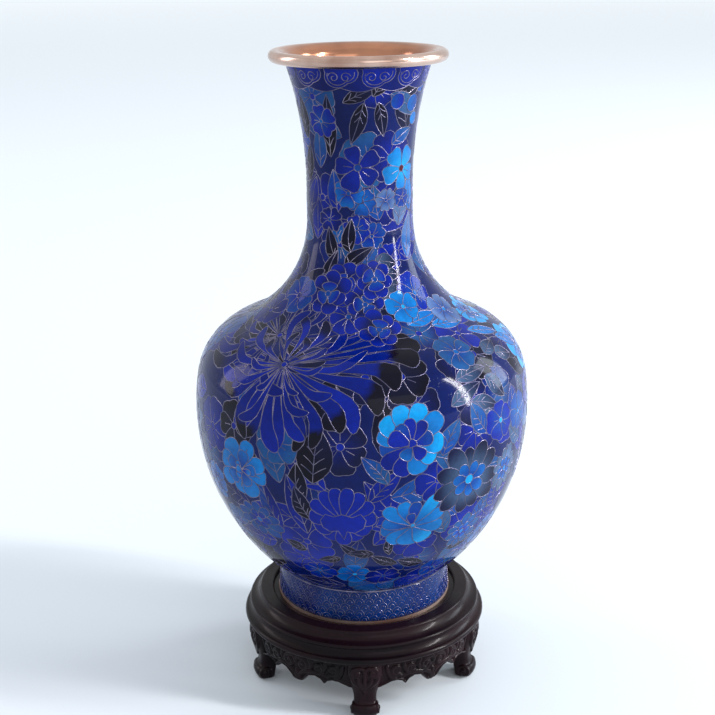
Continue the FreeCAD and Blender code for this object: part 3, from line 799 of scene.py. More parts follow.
def ruyiBorder():
    # cloud heads hanging under the mouth, each a trefoil with two curling wires
    top = skinTop - 0.4
    base = skinTop - ruyiBand["drop"]
    spare = 2 * math.pi / 60
    turns = np.linspace(-math.pi - spare, math.pi + spare, 249)
    wave = base + 1.3 - 2.0 * np.abs(np.cos(turns * ruyiBand["heads"] / 2))
    upper = np.stack([turns[::-8], np.full(len(turns[::-8]), skinTop + 2)], 1)
    band = np.concatenate([np.stack([turns, wave], 1), upper])
    cells.append({"edge": band, "start": upper[0], "stop": upper[1],
                  "colours": [np.array(paint["deep"])] * 2, "ramp": (0, 1), "grow": 40.0})
    for k in range(ruyiBand["heads"]):
        angle = 360 / ruyiBand["heads"] * (k + 0.5) - 180
        turn = np.linspace(-0.10, 1.10, 34) * math.pi
        lobe = ruyiBand["lobe"] + ruyiBand["swell"] * np.abs(np.cos(1.5 * turn))
        outline = np.stack([lobe * 1.3 * np.cos(turn), -lobe * 1.12 * np.sin(turn)], 1)
        spot = (angle, top - 2.2, 0)
        cell(spot, outline, ("royal", "ultramarine"), axis=((0, 0), (0, -7)))
        curls = []
        for way in (-1, 1):
            t = np.linspace(0, 1, 16)
            reach = ruyiBand["curl"] * (1 - 0.82 * t)
            sweep = math.pi * (0.1 + 2.5 * t)
            curls.append(np.stack([way * (3.1 + reach * np.cos(sweep)), -2.4 + reach * np.sin(sweep)], 1))
        curls.append(outline[2:-2:2] * 0.82)
        veins.extend((len(cells) - 1, place(line, *spot)) for line in curls)


# the ground is cell 0; everything else is laid over it in order
cells.append({"edge": None, "colours": [np.array(paint["ground"])] * 2, "start": np.array((0.0, 0.0)),
              "stop": np.array((0.0, skinTop)), "ramp": (0, 1), "grow": 60.0})
bedOfLeaves()
flowersAround()
flowersOfNeck()
flowersOfFront()
ruyiBorder()
print("ornament laid out:", len(cells), "cells and", len(veins), "open wires")


# the planar map: every outline is cut into every other, and the topmost cell owns each patch

mapShape = {
    "scale": 58.0,  # millimetres per radian in the flat map
    "step": 3.0,  # spacing of the points that keep flat patches on the curve
    "seamGap": 0.02,  # how far apart two points on the seam may lie and still be one
}
mapEdge = math.pi  # the seam is at the back


def flat(points):
    return np.stack([points[:, 0] * mapShape["scale"], points[:, 1]], 1)


def wound(points):
    # starts an outline at its lowest point and runs it anticlockwise from there
    points = np.roll(points, -int(points[:, 1].argmin()), axis=0)
    (ax, ay), (bx, by) = points[1] - points[0], points[-1] - points[0]
    if ax * by - ay * bx < 0:
        points = np.concatenate([points[:1], points[:0:-1]])
    return points


def copiesOf(points, low, high):
    # the outline itself, and its copy across the seam when it reaches over it
    if points[:, 1].max() < low or points[:, 1].min() > high:
        return
    for shift in (-2 * math.pi, 0, 2 * math.pi):
        moved = points + (shift, 0)
        if moved[:, 0].max() > -mapEdge and moved[:, 0].min() < mapEdge:
            yield moved


def groundFrame(low, high):
    # the edge of the sheet, with points close enough to follow the round
    step = mapShape["step"]
    across = np.linspace(-mapEdge, mapEdge, int(2 * mapEdge * mapShape["scale"] / step) + 1)
    up = np.linspace(low, high, int((high - low) / step) + 1)
    return np.concatenate([
        np.stack([across, np.full(len(across), low)], 1)[:-1],
        np.stack([np.full(len(up), mapEdge), up], 1)[:-1],
        np.stack([across[::-1], np.full(len(across), high)], 1)[:-1],
        np.stack([np.full(len(up), -mapEdge), up[::-1]], 1)[:-1],
    ])


def pairOf(a, b):
    return (a, b) if a < b else (b, a)


def sheetOf(name, low, high):
    # cuts all the cells between two climbs into one sheet of triangles that goes all the way round
    outline = groundFrame(low, high)
    points, faces, owners = [flat(outline)], [list(range(len(outline)))], [0]
    lines, lineOwners, total = [], {}, len(outline)
    for number, item in enumerate(cells[1:], 1):
        for moved in copiesOf(item["edge"], low, high):
            points.append(flat(wound(moved)))
            faces.append(list(range(total, total + len(moved))))
            owners.append(number)
            total += len(moved)
    for owner, line in veins:
        for moved in copiesOf(line, low, high):
            points.append(flat(moved))
            for k in range(len(moved) - 1):
                lineOwners[len(lines)] = owner
                lines.append((total + k, total + k + 1))
            total += len(moved)
    step = mapShape["step"]
    rows = np.arange(low + step / 2, high, step)
    columns = np.arange(-mapEdge * mapShape["scale"] + step / 2, mapEdge * mapShape["scale"], step)
    x, y = np.meshgrid(columns, rows)
    x = x + (np.arange(len(rows)) % 2)[:, None] * step / 2
    grid = np.stack([x.ravel(), y.ravel()], 1)
    points.append(grid[np.abs(grid[:, 0]) < mapEdge * mapShape["scale"] - 0.5])
    points = np.concatenate(points)
    found, foundEdges, triangles, _, lineSource, faceSource = delaunay_2d_cdt(
        [Vector(p) for p in points], lines, faces, 0, 1e-4, True)
    found = np.array(found, float) / (mapShape["scale"], 1)
    triangles = np.array(triangles)
    centres = found[triangles].mean(1)
    owner = np.array([owners[max(source)] if source else -1 for source in faceSource])
    kept = (np.abs(centres[:, 0]) < mapEdge) & (centres[:, 1] > low) & (centres[:, 1] < high) & (owner >= 0)
    triangles, owner = triangles[kept], owner[kept]

    # the right-hand side of the sheet is the same line as the left-hand one
    same = np.arange(len(found))
    left = np.nonzero(np.abs(found[:, 0] + mapEdge) < 1e-5)[0]
    right = np.nonzero(np.abs(found[:, 0] - mapEdge) < 1e-5)[0]
    for k in right:
        nearest = left[np.abs(found[left, 1] - found[k, 1]).argmin()]
        if abs(found[nearest, 1] - found[k, 1]) < mapShape["seamGap"]:
            same[k] = nearest
    spots = found[triangles]
    triangles = same[triangles]

    sides = {}
    for corners, who in zip(triangles.tolist(), owner.tolist()):
        for k in range(3):
            sides.setdefault(pairOf(corners[k], corners[k - 2]), []).append(who)
    drawn = {}
    for (a, b), source in zip(foundEdges, lineSource):
        pair = pairOf(int(same[a]), int(same[b]))
        for k in source:
            if k in lineOwners:
                drawn.setdefault(pair, set()).add(lineOwners[k])
    wires = [pair for pair, both in sides.items() if len(both) == 2 and
             (both[0] != both[1] or both[0] in drawn.get(pair, ()))]
    print(name, "map:", len(triangles), "triangles,", len(wires), "wire edges")
    return {"found": found, "triangles": triangles, "spots": spots, "owner": owner,
            "wires": np.array(wires), "low": low, "high": high}


def tint(owner, points):
    # colour of a cell at points on the map, fading along the cell's own axis
    item = cells[owner]
    scale = np.array((item["grow"], 1.0))
    axis = (item["stop"] - item["start"]) * scale
    offset = points - item["start"]
    offset[:, 0] = (offset[:, 0] + math.pi) % (2 * math.pi) - math.pi
    along = (offset * scale) @ axis / max(axis @ axis, 1e-9)
    low, high = item["ramp"]
    t = np.clip((along - low) / (high - low), 0, 1)[:, None]
    t = t * t * (3 - 2 * t)
    return item["colours"][0] * (1 - t) + item["colours"][-1] * t


def stitch(lower, lowerAngles, upper, upperAngles):
    # outward triangles between two rings listed in order of angle, whatever their counts
    faces, i, k = [], 0, 0
    n, m = len(lower), len(upper)
    while i < n or k < m:
        a = lowerAngles[(i + 1) % n] + 2 * math.pi * ((i + 1) // n) if i < n else math.inf
        b = upperAngles[(k + 1) % m] + 2 * math.pi * ((k + 1) // m) if k < m else math.inf
        if a <= b:
            faces.append((lower[i % n], lower[(i + 1) % n], upper[k % m]))
            i += 1
        else:
            faces.append((lower[i % n], upper[(k + 1) % m], upper[k % m]))
            k += 1
    return np.array(faces)


def paintPiece(piece, colours, outwards):
    # colours and normals, one for each corner of each face
    layer = piece.data.color_attributes.new("cellColour", "FLOAT_COLOR", "CORNER")
    shade = np.ones((len(colours), 4), np.float32)
    shade[:, :3] = colours
    layer.data.foreach_set("color", shade.ravel())
    piece.data.normals_split_custom_set([tuple(n) for n in outwards])


def enamelPiece(name, sheet):
    # the coloured outer face of a sheet, closed by an inner wall against the copper
    low, high = sheet["low"], sheet["high"]
    used, inverse = np.unique(sheet["triangles"], return_inverse=True)
    corners = inverse.reshape(-1, 3)
    angles, climbs = sheet["found"][used].T
    points = skinPoint(angles, climbs)
    colours = np.zeros((len(corners), 3, 3))
    order = np.argsort(sheet["owner"], kind="stable")
    starts = np.nonzero(np.diff(sheet["owner"][order], prepend=-1))[0]
    for first, last in zip(starts, [*starts[1:], len(order)]):
        mine = order[first:last]
        colours[mine] = tint(sheet["owner"][mine[0]], sheet["spots"][mine].reshape(-1, 2)).reshape(-1, 3, 3)

    rims = []
    for level in (low, high):
        ring = np.nonzero(np.abs(climbs - level) < 1e-3)[0]
        rims.append(ring[np.argsort(angles[ring])])
    total = len(points)
    steps = np.linspace(-math.pi, math.pi, 96, endpoint=False)
    levels = np.linspace(low, high, max(4, int((high - low) / 5)))
    walls, rings = [], []
    for level in levels:
        rings.append(np.arange(total, total + len(steps)))
        walls.append(skinPoint(steps, np.full(len(steps), level), -vaseShape["coat"]))
        total += len(steps)
    closing = [stitch(rings[k], steps, rings[k + 1], steps)[:, ::-1] for k in range(len(rings) - 1)]
    closing.append(stitch(rims[0], angles[rims[0]], rings[0], steps)[:, ::-1])
    closing.append(stitch(rims[1], angles[rims[1]], rings[-1], steps))
    closing = np.concatenate(closing)
    everyPoint = np.concatenate([points, *walls])
    piece = meshPiece(name, everyPoint, np.concatenate([corners, closing]), enamel)
    backs = np.cross(everyPoint[closing[:, 1]] - everyPoint[closing[:, 0]],
                     everyPoint[closing[:, 2]] - everyPoint[closing[:, 0]])
    backs /= np.linalg.norm(backs, axis=1)[:, None] + 1e-12
    outwards = np.concatenate([skinNormal(angles, climbs)[corners.ravel()], np.repeat(backs, 3, 0)])
    plain = np.tile(paint["ground"], (len(closing) * 3, 1))
    paintPiece(piece, np.concatenate([colours.reshape(-1, 3), plain]), outwards)
    return piece


# wires: the map's cell borders, swept with a flat-topped section that stands just proud

wireShape = {
    "width": 0.38,
    "proud": 0.07,
    "depth": 0.3,
    "sag": 0.02,  # how far a straight stretch may dip below the round
    "straight": 0.97,  # cosine of the bend that still counts as straight on
}


def newTree(name, *inputs):
    # an empty tree with a geometry inlet and outlet and named inputs
    tree = bpy.data.node_groups.new(name, "GeometryNodeTree")
    tree.interface.new_socket("Geometry", in_out="INPUT", socket_type="NodeSocketGeometry")
    for label, kind in inputs:
        tree.interface.new_socket(label, in_out="INPUT", socket_type="NodeSocket" + kind)
    tree.interface.new_socket("Geometry", in_out="OUTPUT", socket_type="NodeSocketGeometry")
    return tree, tree.nodes.new("NodeGroupInput"), tree.nodes.new("NodeGroupOutput")


def mathNode(tree, operation, first, second):
    node = tree.nodes.new("ShaderNodeMath")
    node.operation = operation
    for socket, value in zip(node.inputs, (first, second)):
        if isinstance(value, bpy.types.NodeSocket):
            tree.links.new(value, socket)
        else:
            socket.default_value = value
    return node.outputs[0]


def wireTree():
    # edges to splines, splines to closed strips that keep their flat side to the skin
    tree, inlet, outlet = newTree("wireSweep", ("Width", "Float"), ("Proud", "Float"), ("Depth", "Float"),
                                  ("Material", "Material"))
    link = tree.links.new
    curve = tree.nodes.new("GeometryNodeMeshToCurve")
    normal = tree.nodes.new("GeometryNodeInputNamedAttribute")
    normal.data_type = "FLOAT_VECTOR"
    normal.inputs["Name"].default_value = "skinNormal"
    aim = tree.nodes.new("GeometryNodeSetCurveNormal")
    aim.mode = "FREE"
    halfDepth = mathNode(tree, "MULTIPLY", inlet.outputs["Depth"], 0.5)
    middle = mathNode(tree, "SUBTRACT", inlet.outputs["Proud"], halfDepth)
    lift = tree.nodes.new("ShaderNodeVectorMath")
    lift.operation = "SCALE"
    move = tree.nodes.new("GeometryNodeSetPosition")
    strip = tree.nodes.new("GeometryNodeCurvePrimitiveQuadrilateral")
    sweep = tree.nodes.new("GeometryNodeCurveToMesh")
    sweep.inputs["Fill Caps"].default_value = True
    coat = tree.nodes.new("GeometryNodeSetMaterial")
    real = tree.nodes.new("GeometryNodeRealizeInstances")
    link(inlet.outputs["Geometry"], curve.inputs[0])
    link(curve.outputs[0], aim.inputs["Curve"])
    link(normal.outputs["Attribute"], aim.inputs["Normal"])
    link(normal.outputs["Attribute"], lift.inputs[0])
    link(middle, lift.inputs["Scale"])
    link(aim.outputs[0], move.inputs["Geometry"])
    link(lift.outputs[0], move.inputs["Offset"])
    link(inlet.outputs["Depth"], strip.inputs["Width"])
    link(inlet.outputs["Width"], strip.inputs["Height"])
    link(move.outputs[0], sweep.inputs["Curve"])
    link(strip.outputs[0], sweep.inputs["Profile Curve"])
    link(sweep.outputs[0], real.inputs[0])
    link(real.outputs[0], coat.inputs["Geometry"])
    link(inlet.outputs["Material"], coat.inputs["Material"])
    link(coat.outputs[0], outlet.inputs[0])
    return tree


def applyTree(piece, tree, **values):
    # runs a tree on a piece and keeps the result as a plain mesh
    modifier = piece.modifiers.new("build", "NODES")
    modifier.node_group = tree
    for item in tree.interface.items_tree:
        if item.item_type == "SOCKET" and item.in_out == "INPUT" and item.name in values:
            modifier[item.identifier] = values[item.name]
    bpy.context.view_layer.update()
    ready = piece.evaluated_get(bpy.context.evaluated_depsgraph_get())
    mesh = bpy.data.meshes.new_from_object(ready)
    piece.modifiers.clear()
    piece.data = mesh
    return piece


def edgePiece(name, points, edges, outwards):
    # bare edges that carry the skin's normal, ready to be swept
    mesh = bpy.data.meshes.new(name)
    mesh.from_pydata([tuple(p) for p in points * mm], [tuple(e) for e in np.asarray(edges).tolist()], [])
    layer = mesh.attributes.new("skinNormal", "FLOAT_VECTOR", "POINT")
    layer.data.foreach_set("vector", np.asarray(outwards, np.float32).ravel())
    piece = bpy.data.objects.new(name, mesh)
    scene.collection.objects.link(piece)
    return piece


sweepTree = wireTree()


def eased(points, edges):
    # leaves out points where a wire runs on nearly straight, as long as it still hugs the round
    beside = {}
    for a, b in edges.tolist():
        beside.setdefault(a, set()).add(b)
        beside.setdefault(b, set()).add(a)
    for k in list(beside):
        if len(beside[k]) != 2:
            continue
        a, b = beside[k]
        there, back = points[a] - points[k], points[b] - points[k]
        long = np.linalg.norm(there) * np.linalg.norm(back)
        reach = math.sqrt(8 * wireShape["sag"] * np.hypot(*points[k][:2]))
        bent = there @ back > -wireShape["straight"] * long
        if b in beside[a] or bent or np.linalg.norm(points[a] - points[b]) > reach:
            continue
        beside[a].remove(k)
        beside[b].remove(k)
        beside[a].add(b)
        beside[b].add(a)
        del beside[k]
    return np.array([(a, b) for a, others in beside.items() for b in others if a < b])


def wirePiece(name, sheet):
    # the wires of one sheet
    wires = eased(skinPoint(*sheet["found"].T), sheet["wires"])
    used, inverse = np.unique(wires, return_inverse=True)
    angles, climbs = sheet["found"][used].T
    piece = edgePiece(name, skinPoint(angles, climbs), inverse.reshape(-1, 2), skinNormal(angles, climbs))
    applyTree(piece, sweepTree, Width=wireShape["width"] * mm, Proud=wireShape["proud"] * mm,
              Depth=wireShape["depth"] * mm, Material=wire)
    print(name, "has", len(piece.data.polygons), "faces")
    return piece


bands = (("belly", 0.0, widestClimb), ("shoulder", widestClimb, neckClimb), ("neck", neckClimb, skinTop))
for part, low, high in bands:
    sheet = sheetOf(part, low, high)
    settle(enamelPiece(part + "Enamel", sheet), "vase", (part + "_enamel",))
    settle(wirePiece(part + "Wires", sheet), "vase")


# the foot: plain cloudy blue under a net of fish-scale wires

footShape = {
    "lean": 1.0,
    "rows": 5,
    "across": 58,
    "wire": 0.2,
    "proud": 0.05,
    "depth": 0.2,
    "deepest": np.array(paint["ground"]),
    "palest": np.array(paint["blue"]) * 0.6,
}
footLow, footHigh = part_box("foot_enamel")


def footPlace(angle, rise):
    # rise runs from 0 at the gilt band to 1 at the crease
    radius = footHigh.x / mm - footShape["lean"] * rise
    return around(radius, (footLow.z + (footHigh.z - footLow.z) * rise) / mm, angle)


def footEnamelPiece():
    # a closed sleeve whose colour drifts from deep to lighter blue
    draw = random.Random(4)
    steps, rows = 232, 12
    angles = np.linspace(0, 2 * math.pi, steps, endpoint=False)
    rise = np.linspace(0, 1, rows)
    outer = np.concatenate([footPlace(angles, t) for t in rise])
    inner = outer.copy()
    size = np.linalg.norm(inner[:, :2], axis=1)[:, None]
    inner[:, :2] *= (size - vaseShape["coat"]) / size
    faces = []
    n = len(outer)
    for i in range(rows - 1):
        for k in range(steps):
            a, b = i * steps + k, i * steps + (k + 1) % steps
            faces.append((a, b, b + steps, a + steps))
            faces.append((n + a, n + a + steps, n + b + steps, n + b))
    last = (rows - 1) * steps
    for k in range(steps):
        m = (k + 1) % steps
        faces.append((k, n + k, n + m, m))
        faces.append((last + k, last + m, n + last + m, n + last + k))
    piece = meshPiece("footEnamel", np.concatenate([outer, inner]), faces, enamel)
    drift = sum(draw.uniform(0.4, 1) * np.sin(angles * k + draw.uniform(0, 6.28)) for k in (2, 3, 5, 9, 14))
    drift = ((drift - drift.min()) / (drift.max() - drift.min()))[:, None]
    shade = np.ones((len(outer) * 2, 4), np.float32)
    tones = footShape["deepest"] * (1 - drift) + footShape["palest"] * drift
    shade[:, :3] = np.tile(tones, (2 * rows, 1))
    layer = piece.data.color_attributes.new("cellColour", "FLOAT_COLOR", "POINT")
    layer.data.foreach_set("color", shade.ravel())
    return piece


def footWirePiece():
    # overlapping arcs in staggered rows, each with a smaller one inside
    points, edges, outwards = [], [], []
    rows, across = footShape["rows"], footShape["across"]
    for row in range(rows):
        for k in range(across):
            middle = 2 * math.pi * (k + 0.5 * (row % 2)) / across
            for size in (1.0, 0.5):
                turn = np.linspace(0, math.pi, 9 if size == 1 else 6)
                angle = middle + size * np.cos(turn) * math.pi / across
                rise = (row + 0.06 + size * 0.88 * np.sin(turn)) / rows
                arc = np.concatenate([footPlace(np.array([a]), t) for a, t in zip(angle, rise)])
                first = len(points)
                points.extend(arc)
                edges.extend((first + i, first + i + 1) for i in range(len(arc) - 1))
                outwards.extend(np.stack([np.sin(angle), -np.cos(angle), 0 * angle], 1))
    piece = edgePiece("footWires", np.array(points), edges, outwards)
    return applyTree(piece, sweepTree, Width=footShape["wire"] * mm, Proud=footShape["proud"] * mm,
                     Depth=footShape["depth"] * mm, Material=wire)


settle(footEnamelPiece(), "vase", ("foot_enamel",))
settle(footWirePiece(), "vase")
print("foot made")


# carving: raised scrolls are lines on a surface, and a surface rises near them

def spiralLine(x, y, radius, turns, start, way=1, count=40, tight=0.12):
    # a curl that winds in to its eye; start is the angle of its outer end in degrees
    t = np.linspace(0, 1, count)
    reach = radius * (1 - (1 - tight) * t)
    sweep = math.radians(start) + way * 2 * math.pi * turns * t
    return np.stack([x + reach * np.cos(sweep), y + reach * np.sin(sweep)], 1)


def bentLine(*knots, count=24):
    # a smooth run through a few knots
    knots = np.array(knots, float)
    t = np.linspace(0, 1, len(knots))
    fit = np.polyfit(t, knots, min(3, len(knots) - 1))
    u = np.linspace(0, 1, count)
    return np.stack([np.polyval(fit[:, 0], u), np.polyval(fit[:, 1], u)], 1)


def ridge(places, lines, width):
    # 0 away from the lines, rising round to 1 on them
    nearest = np.full(len(places), 1e9)
    for line in lines:
        a, b = line[:-1], line[1:]
        d = b - a
        t = np.clip(((places[:, None] - a) * d).sum(2) / np.maximum((d * d).sum(1), 1e-9), 0, 1)
        gap = np.linalg.norm(places[:, None] - (a + t[..., None] * d), axis=2).min(1)
        nearest = np.minimum(nearest, gap)
    rise = np.clip(1 - nearest / width, 0, 1)
    return np.sqrt(np.clip(1 - (1 - rise) ** 2, 0, 1))


apronShape = {
    "outer": 65.4,
    "taper": 2.8,
    "thick": 5.4,
    "half": 30.6,  # degrees each side of its middle
    "top": 33.9,
    "relief": 1.25,
    "ground": 1.0,  # how far the ground is sunk behind the scrolls
    "rounding": 1.2,  # of the top and bottom edges
    "scroll": 1.35,  # half widths of a scroll and of the bead along the edges
    "bead": 1.0,
    "columns": 168,
    "rows": 46,
}


def hem(u):
    # lower edge: a pendant in the middle, an arch and a cusp each side, then a small drop into the legs
    knots = ((0, 15.2), (3, 15.7), (5.5, 18.6), (8, 20.8), (12, 21.6), (15.5, 20.2), (17.6, 17.4),
             (19.4, 19.6), (22.5, 20.6), (26, 20.1), (29, 18.8), (32, 17.4), (35, 16.6))
    return np.interp(np.abs(u), *zip(*knots))


def bothSides(*lines):
    # the lines drawn for the right-hand side, and their mirror
    return [line * np.array((way, 1)) for way in (-1, 1) for line in lines]


def apronScrolls():
    return bothSides(
        spiralLine(4.6, 27.2, 3.9, 1.25, 100, -1),
        bentLine((4.0, 31.0), (1.2, 31.2), (0, 28.0)),
        bentLine((1.0, 18.0), (3.0, 21.5), (7.5, 23.4), (12.0, 24.4)),
        spiralLine(14.6, 27.4, 3.7, 1.3, -125, 1),
        bentLine((16.0, 24.2), (19.5, 23.2), (21.5, 24.2)),
        spiralLine(23.2, 27.6, 3.5, 1.2, -110, 1),
        bentLine((9.3, 31.4), (10.2, 28.8), (9.2, 26.4)),
        bentLine((19.0, 31.6), (19.0, 29.4), (18.2, 27.6)),
        bentLine((24.5, 22.5), (27.4, 24.8), (28.8, 30.5)),
        bentLine((0, 17.2), (0, 22.6)),
    )


def apronMesh():
    # a bowed panel whose front is carved and whose back is plain, made facing the viewer
    shape = apronShape
    columns, rows = shape["columns"], shape["rows"]
    half = math.radians(shape["half"])
    angle = np.linspace(-half, half, columns)
    u = angle * shape["outer"]
    low = hem(u)
    t = np.linspace(0, 1, rows)
    z = low[:, None] + (shape["top"] - low)[:, None] * t
    flatU = np.repeat(u[:, None], rows, 1)
    places = np.stack([flatU.ravel(), z.ravel()], 1)
    raised = ridge(places, apronScrolls(), shape["scroll"]).reshape(columns, rows)
    edges = [np.stack([u, low + 0.9], 1), np.stack([u, np.full(columns, shape["top"] - 0.8)], 1)]
    bead = ridge(places, edges, shape["bead"]).reshape(columns, rows)
    depth = np.maximum(raised * shape["relief"], bead * shape["relief"] * 0.9) - shape["ground"]
    rounding = np.minimum(t * (shape["top"] - low)[:, None], shape["rounding"]) / shape["rounding"]
    depth = depth - 0.9 * (1 - np.sqrt(np.clip(1 - (1 - rounding) ** 2, 0, 1)))
    bow = shape["outer"] - shape["taper"] * (shape["top"] - z) / 17
    turn = np.repeat(angle[:, None], rows, 1)
    front = around(bow + depth - 0.25, z, turn).reshape(-1, 3)
    back = around(bow - shape["thick"], z, turn).reshape(-1, 3)
    faces, n = [], len(front)
    for i in range(columns - 1):
        for k in range(rows - 1):
            a, b = i * rows + k, (i + 1) * rows + k
            faces.append((a, b, b + 1, a + 1))
            faces.append((n + a, n + a + 1, n + b + 1, n + b))
        a, b = i * rows, (i + 1) * rows
        faces.append((a, n + a, n + b, b))
        faces.append((a + rows - 1, b + rows - 1, n + b + rows - 1, n + a + rows - 1))
    last = (columns - 1) * rows
    for k in range(rows - 1):
        faces.append((k, k + 1, n + k + 1, n + k))
        faces.append((last + k, n + last + k, n + last + k + 1, last + k + 1))
    blank = meshPiece("apronBlank", np.concatenate([front, back]), faces, carvedWood)
    mesh = blank.data
    bpy.data.objects.remove(blank)
    return mesh


def setRound(label, node, mesh, offset):
    # five copies of a carved mesh; offset is the number that would face the viewer
    for number in range(1, 6):
        turned = mesh.copy()
        turned.transform(Matrix.Rotation(math.radians(72 * (number - offset)), 4, "Z"))
        piece = bpy.data.objects.new(label + str(number), turned)
        scene.collection.objects.link(piece)
        settle(piece, "stand", (node + str(number),))


setRound("apronPanel", "apron_", apronMesh(), 0.5)
print("aprons carved")


legShape = {
    # (height, middle radius, depth, width) of each section from the rim down to the toe
    "sections": ((33.9, 59.6, 11.0, 19.8), (30.5, 60.0, 11.8, 20.2), (26.0, 60.1, 12.4, 19.6),
                 (21.5, 59.3, 12.0, 17.4), (17.0, 58.4, 11.2, 14.6), (13.0, 58.0, 10.4, 12.6),
                 (9.5, 58.3, 10.0, 12.0), (6.5, 59.0, 10.2, 12.8), (3.6, 59.8, 10.4, 13.6),
                 (0.9, 59.8, 9.6, 13.2)),
    "toe": (61.4, 4.7, 4.65, 7.6),  # radius out, height, roll radius and half width of the curled toe
    "voxel": 0.42,
    "relief": 0.8,
    "ground": 0.35,  # how far the shaft is sunk between the carved lines
    "curl": 0.6,  # relief of the spiral on the toe's cheeks
    "scroll": 1.15,  # half widths of a scroll on the knee and of the spiral
    "spiral": 0.62,
    "steps": 44,  # rows and points a row of the uncarved shaft
    "spokes": 40,
    "boxy": 3.4,  # 2 would make its sections oval, more makes them squarer
    "smoothing": 6,
}


def legBlank():
    # the uncarved leg at the viewer's side: a loft of soft rectangles and a rolled toe
    sections = np.array(legShape["sections"])
    steps, spokes, boxy = legShape["steps"], legShape["spokes"], legShape["boxy"]
    t = np.linspace(0, 1, len(sections))
    fine = np.linspace(0, 1, steps)
    height, middle, depth, width = (np.interp(fine, t, sections[:, k]) for k in range(4))
    for values in (middle, depth, width):
        for _ in range(legShape["smoothing"]):
            values[1:-1] = (values[:-2] + 2 * values[1:-1] + values[2:]) / 4
    turn = np.linspace(0, 2 * math.pi, spokes, endpoint=False)
    square = (np.abs(np.cos(turn)) ** boxy + np.abs(np.sin(turn)) ** boxy) ** (-1 / boxy)
    points = [(width[i] / 2 * square[k] * math.cos(turn[k]),
               -middle[i] + depth[i] / 2 * square[k] * math.sin(turn[k]),
               height[i]) for i in range(steps) for k in range(spokes)]
    faces = []
    for i in range(steps - 1):
        for k in range(spokes):
            a, b = i * spokes + k, i * spokes + (k + 1) % spokes
            faces.append((a, a + spokes, b + spokes, b))
    points += [(0, -middle[0], height[0]), (0, -middle[-1], height[-1])]
    top, end = len(points) - 2, len(points) - 1
    last = (steps - 1) * spokes
    faces += [(top, k, (k + 1) % spokes) for k in range(spokes)]
    faces += [(end, last + (k + 1) % spokes, last + k) for k in range(spokes)]

    out, level, roll, half = legShape["toe"]
    side = [(half * math.cos(a), roll * math.sin(a) ** 0.6) for a in np.linspace(0.02, math.pi - 0.02, 19)]
    first = len(points)
    for x, r in side:
        points += [(x, -out + r * math.cos(a), level + r * math.sin(a)) for a in turn]
    for i in range(len(side) - 1):
        for k in range(spokes):
            a, b = first + i * spokes + k, first + i * spokes + (k + 1) % spokes
            faces.append((a, b, b + spokes, a + spokes))
    faces.append(tuple(range(first + spokes - 1, first - 1, -1)))
    faces.append(tuple(range(first + (len(side) - 1) * spokes, first + len(side) * spokes)))
    return meshPiece("legBlank", points, faces, carvedWood)


def carveLeg(mesh):
    # scrolls and a leaf on the knee, and a curl on each side of the toe
    count = len(mesh.vertices)
    points, normals = np.zeros(count * 3), np.zeros(count * 3)
    mesh.vertices.foreach_get("co", points)
    mesh.vertices.foreach_get("normal", normals)
    points, normals = points.reshape(-1, 3) / mm, normals.reshape(-1, 3)
    x, y, z = points.T
    front = np.clip((-normals[:, 1] - 0.15) / 0.5, 0, 1)
    lines = bothSides(
        spiralLine(4.5, 28.2, 3.0, 1.2, 120, -1),
        bentLine((3.0, 31.0), (1.0, 30.6), (0, 27.5)),
        bentLine((6.9, 26.0), (5.4, 22.0), (2.0, 18.6), (0, 15.0)),
        bentLine((3.6, 24.6), (2.6, 21.6), (0.6, 19.4)),
    )
    lines.append(bentLine((0, 26.5), (0, 17.0)))
    knee = ridge(np.stack([x, z], 1), lines, legShape["scroll"]) * front * (z < 32.6)
    out, level, roll = legShape["toe"][:3]
    cheek = np.clip((np.abs(normals[:, 0]) - 0.35) / 0.4, 0, 1) * (np.hypot(y + out, z - level) < roll + 0.3)
    spiral = spiralLine(0, 0, roll * 0.84, 1.5, -150, -1)
    curl = ridge(np.stack([-y - out, z - level], 1), [spiral], legShape["spiral"]) * cheek
    sunk = front * (1 - knee) * (z < 32) * (z > 8)
    rise = knee * legShape["relief"] - sunk * legShape["ground"] + curl * legShape["curl"]
    points += normals * rise[:, None]
    points[:, 2] = np.clip(points[:, 2], 0.0, 33.95)  # between the floor and the rim
    mesh.vertices.foreach_set("co", (points * mm).ravel())
    mesh.update()


def legMesh():
    # the loft and the toe fused into one skin, softened and then carved
    blank = legBlank()
    remesh = blank.modifiers.new("fuse", "REMESH")
    remesh.mode = "VOXEL"
    remesh.voxel_size = legShape["voxel"] * mm
    remesh.use_smooth_shade = True
    soften = blank.modifiers.new("soften", "SMOOTH")
    soften.factor, soften.iterations = 0.5, 5
    bpy.context.view_layer.update()
    mesh = bpy.data.meshes.new_from_object(blank.evaluated_get(bpy.context.evaluated_depsgraph_get()))
    bpy.data.objects.remove(blank)
    carveLeg(mesh)
    mesh.materials.clear()
    mesh.materials.append(carvedWood)
    return mesh


setRound("curledLeg", "leg_", legMesh(), 1)
print("legs carved")


# parts whose turned shape is already right take their finish here
finishes = (
    (gilt, ("mouth_ring",)),
    (bandGilt, ("foot_band",)),
    (wire, ("foot_wire", "mouth_wire")),
    (copper, ("neck_shell", "shoulder_shell", "belly_shell", "foot_shell", "base_plate")),
    (lining, ("neck_lining", "shoulder_lining", "belly_lining", "base_enamel")),
    (turnedWood, ("stand_rim", "seat_panel", *("leg_dowel_" + str(k) for k in range(1, 6)))),
)
for material, names in finishes:
    for name in names:
        for slot in bpy.data.objects[name].material_slots:
            slot.material = material
print("finishes given")


# camera, floor and light

view = {"place": (0.0, -0.693, 0.409), "pitch": -18.0, "roll": -0.6, "lens": 67.6, "aside": -0.0056}


